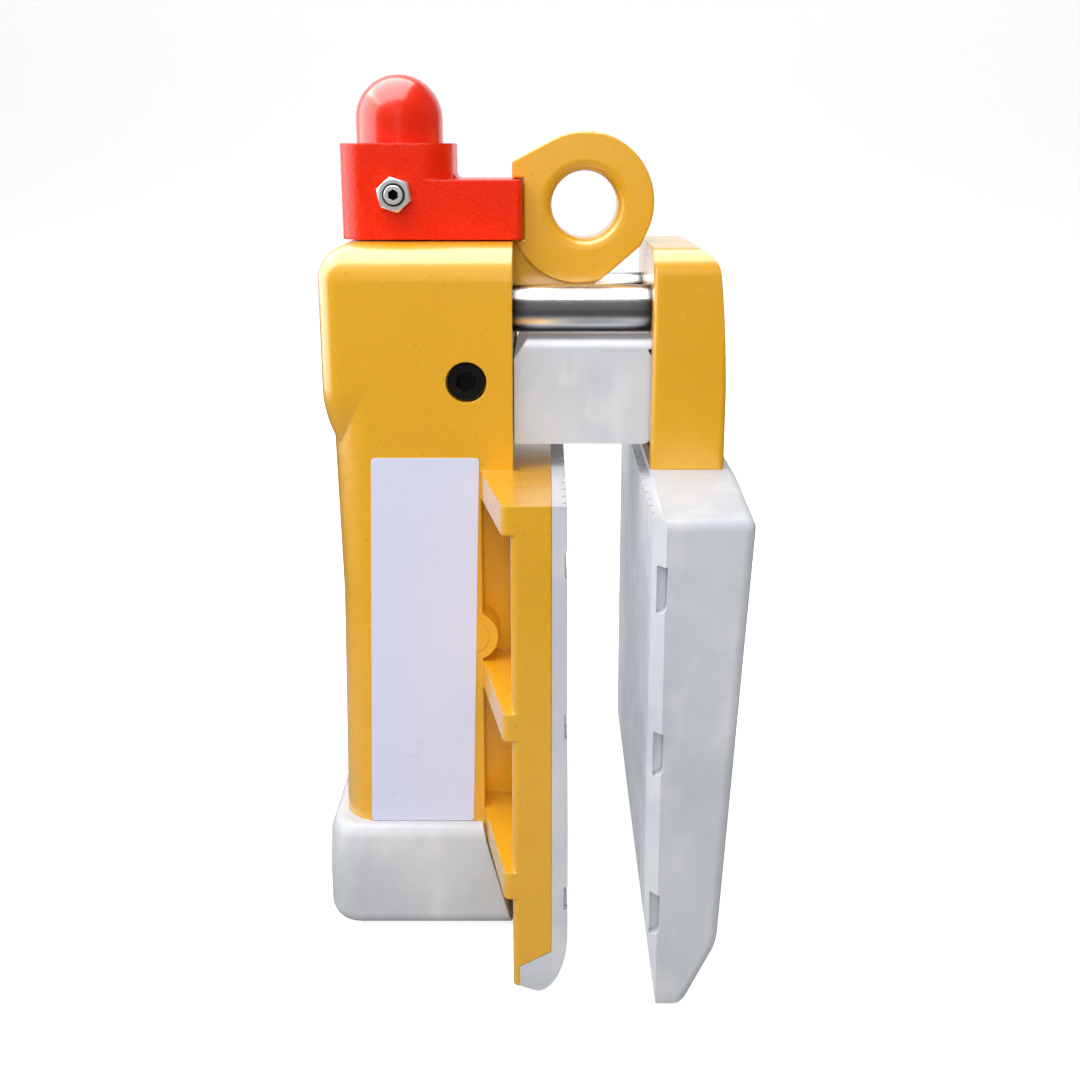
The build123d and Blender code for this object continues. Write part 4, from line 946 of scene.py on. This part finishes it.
def bar(name, sides, radius, x, z, low, high, turn=0):
    """A bar along Y, round or with flat sides, in millimetres."""
    bpy.ops.object.select_all(action="DESELECT")
    bpy.ops.mesh.primitive_cylinder_add(
        vertices=sides, radius=radius * MM, depth=(high - low) * MM,
        location=Vector((x, (low + high) / 2, z)) * MM, rotation=(math.radians(90), math.radians(turn), 0),
    )
    piece = bpy.context.object
    piece.name = name
    bpy.ops.object.transform_apply(location=True, rotation=True, scale=True)
    return piece


def thin_down(piece, end_y, inset, length):
    """Inset the end face at a Y and pull it on, which makes a thinner shank."""
    make_active(piece)
    bpy.ops.object.mode_set(mode="EDIT")
    bpy.ops.mesh.select_mode(type="FACE")
    bpy.ops.mesh.select_all(action="DESELECT")
    bpy.ops.object.mode_set(mode="OBJECT")
    for face in piece.data.polygons:
        face.select = abs(face.center.y / MM - end_y) < 0.01 and abs(face.normal.y) > 0.9
    bpy.ops.object.mode_set(mode="EDIT")
    bpy.ops.mesh.inset(thickness=inset * MM)
    bpy.ops.mesh.extrude_region_move(TRANSFORM_OT_translate={"value": (0, length * MM, 0)})
    bpy.ops.object.mode_set(mode="OBJECT")


def copy_across(piece, name, pivot_x):
    """A copy with its own mesh, turned half round onto the far side."""
    make_active(piece)
    bpy.ops.object.duplicate()
    copy = bpy.context.object
    copy.name = name
    bpy.ops.transform.rotate(value=math.pi, orient_axis="Z", center_override=(pivot_x * MM, 0, 0))
    bpy.ops.object.transform_apply(location=True, rotation=True, scale=True)
    return copy


def at_y(level):
    """A test that picks the edges at one Y."""
    return lambda start, end: max(abs(start.y - level), abs(end.y - level)) < 0.02


HEX_GROWTH = 2 / math.sqrt(3)
print("fastener helpers ready")

# %% Locknuts
NUT_SEAT = -24.0
NUT_FACE = -30.5
NUT_FLAT = 6.5
NUT_TURN = -12.0
NUT_BORE = 4.05
NUT_CHAMFER = 1.2
NUT_MOUTH = 1.0
MOUTH_CHAMFER = 0.95
NUT_EDGE = 0.15

nut_corner = NUT_FLAT * HEX_GROWTH
near_nut = bar("locknut_near", 6, nut_corner, LATCH_X, FOLLOWER_Z, NUT_FACE, NUT_SEAT, NUT_TURN)
turned = bar("turned", 64, nut_corner, LATCH_X, FOLLOWER_Z, NUT_FACE, NUT_SEAT)
round_edges(turned, NUT_CHAMFER, at_y(NUT_FACE), 1)
round_edges(turned, NUT_CHAMFER, at_y(NUT_SEAT), 1)
carve(near_nut, turned, operation="INTERSECT")
bore = bar("bore", 48, NUT_BORE, LATCH_X, FOLLOWER_Z, NUT_FACE - CLEAR, NUT_SEAT + CLEAR)
mouth_end = NUT_FACE + NUT_MOUTH
mouth = bar("mouth", 48, NUT_BORE + NUT_MOUTH, LATCH_X, FOLLOWER_Z, NUT_FACE - CLEAR, mouth_end)
round_edges(mouth, MOUTH_CHAMFER, at_y(mouth_end), 1)
carve(near_nut, bore, mouth)
soften(near_nut, NUT_EDGE, angle=25)
far_nut = copy_across(near_nut, "locknut_far", LATCH_X)
for nut in (near_nut, far_nut):
    complete(nut, metal["bright_zinc"], "lift", "follower_locknuts")

# %% Followers
FOLLOWER_END = -31.3
FOLLOWER_SHOULDER = -17.0
FOLLOWER_RADIUS = 4.0
FOLLOWER_CHAMFER = 0.5
FOLLOWER_TIP_INSET = 1.5
FOLLOWER_TIP_LONG = 7.0
FOLLOWER_SOCKET = 2.0
FOLLOWER_SOCKET_DEEP = 5.0
FOLLOWER_EDGE = 0.12
RIM_KEPT = 0.3

near_follower = bar(
    "follower_near", 48, FOLLOWER_RADIUS, LATCH_X, FOLLOWER_Z, FOLLOWER_END, FOLLOWER_SHOULDER,
)
round_edges(near_follower, FOLLOWER_CHAMFER, at_y(FOLLOWER_END), 2)
thin_down(near_follower, FOLLOWER_SHOULDER, FOLLOWER_TIP_INSET, FOLLOWER_TIP_LONG)
socket_corner = FOLLOWER_SOCKET * HEX_GROWTH
socket_floor = FOLLOWER_END + FOLLOWER_SOCKET_DEEP
socket = bar("socket", 6, socket_corner, LATCH_X, FOLLOWER_Z, FOLLOWER_END - CLEAR, socket_floor)
carve(near_follower, socket)
soften(near_follower, FOLLOWER_EDGE, angle=40)
far_follower = copy_across(near_follower, "follower_far", LATCH_X)
for follower in (near_follower, far_follower):
    complete(follower, metal["bright_zinc"], "lift", "follower_screws")
    # The deep faces of each socket take the black metal as painted shade, for the shadow in the hollow.
    follower.data.materials.append(metal["black_oxide_and_socket_shade"])
    for face in follower.data.polygons:
        sunk = abs(face.center.y) / MM < abs(FOLLOWER_END) - RIM_KEPT
        across = Vector((face.center.x / MM - LATCH_X, face.center.z / MM - FOLLOWER_Z)).length
        beyond = abs(face.center.y) / MM > abs(FOLLOWER_SHOULDER) + CLEAR
        face.material_index = int(sunk and beyond and across < socket_corner)

# %% Cap screws
SCREW_X = -23.8
SCREW_Z = 255.4
SCREW_FACE = -43.5
SCREW_SEAT = -37.5
SCREW_HEAD = 8.0
SCREW_ROUND = 0.9
SCREW_SHANK = 5.0
SCREW_SHANK_LONG = 17.5
SCREW_SOCKET = 4.0
SCREW_SOCKET_DEEP = 4.0
SCREW_TURN = 10.0
SCREW_EDGE = 0.25

near_screw = bar("cap_screw_near", 64, SCREW_HEAD, SCREW_X, SCREW_Z, SCREW_FACE, SCREW_SEAT)
round_edges(near_screw, SCREW_ROUND, at_y(SCREW_FACE), 3)
thin_down(near_screw, SCREW_SEAT, SCREW_HEAD - SCREW_SHANK, SCREW_SHANK_LONG)
screw_corner = SCREW_SOCKET * HEX_GROWTH
screw_floor = SCREW_FACE + SCREW_SOCKET_DEEP
socket = bar("socket", 6, screw_corner, SCREW_X, SCREW_Z, SCREW_FACE - CLEAR, screw_floor, SCREW_TURN)
carve(near_screw, socket)
soften(near_screw, SCREW_EDGE, angle=40)
far_screw = copy_across(near_screw, "cap_screw_far", SCREW_X)
for screw in (near_screw, far_screw):
    complete(screw, metal["black_oxide_and_socket_shade"], "frame", "bumper_screws")

# %% [markdown]
# ### Paint over the guide pin
# The pin low in the column was put in before painting, so paint bridges the thin gap round its ends.
# A flat disc with a rounded rim on each side stands for that skin of paint.

# %% Skins of paint
PIN_X = -22.6
PIN_Z = 141.4
SKIN_RADIUS = 7.4
SKIN_THICK = 0.25
SKIN_SUNK = 0.1
SKIN_ROUND = 0.24

skin_face = PLATE_SEAT - SKIN_THICK
near_skin = bar("pin_skin_near", 64, SKIN_RADIUS, PIN_X, PIN_Z, skin_face, PLATE_SEAT + SKIN_SUNK)
round_edges(near_skin, SKIN_ROUND, at_y(skin_face), 4)
far_skin = copy_across(near_skin, "pin_skin_far", PIN_X)
for skin in (near_skin, far_skin):
    complete(skin, yellow_enamel, "frame")
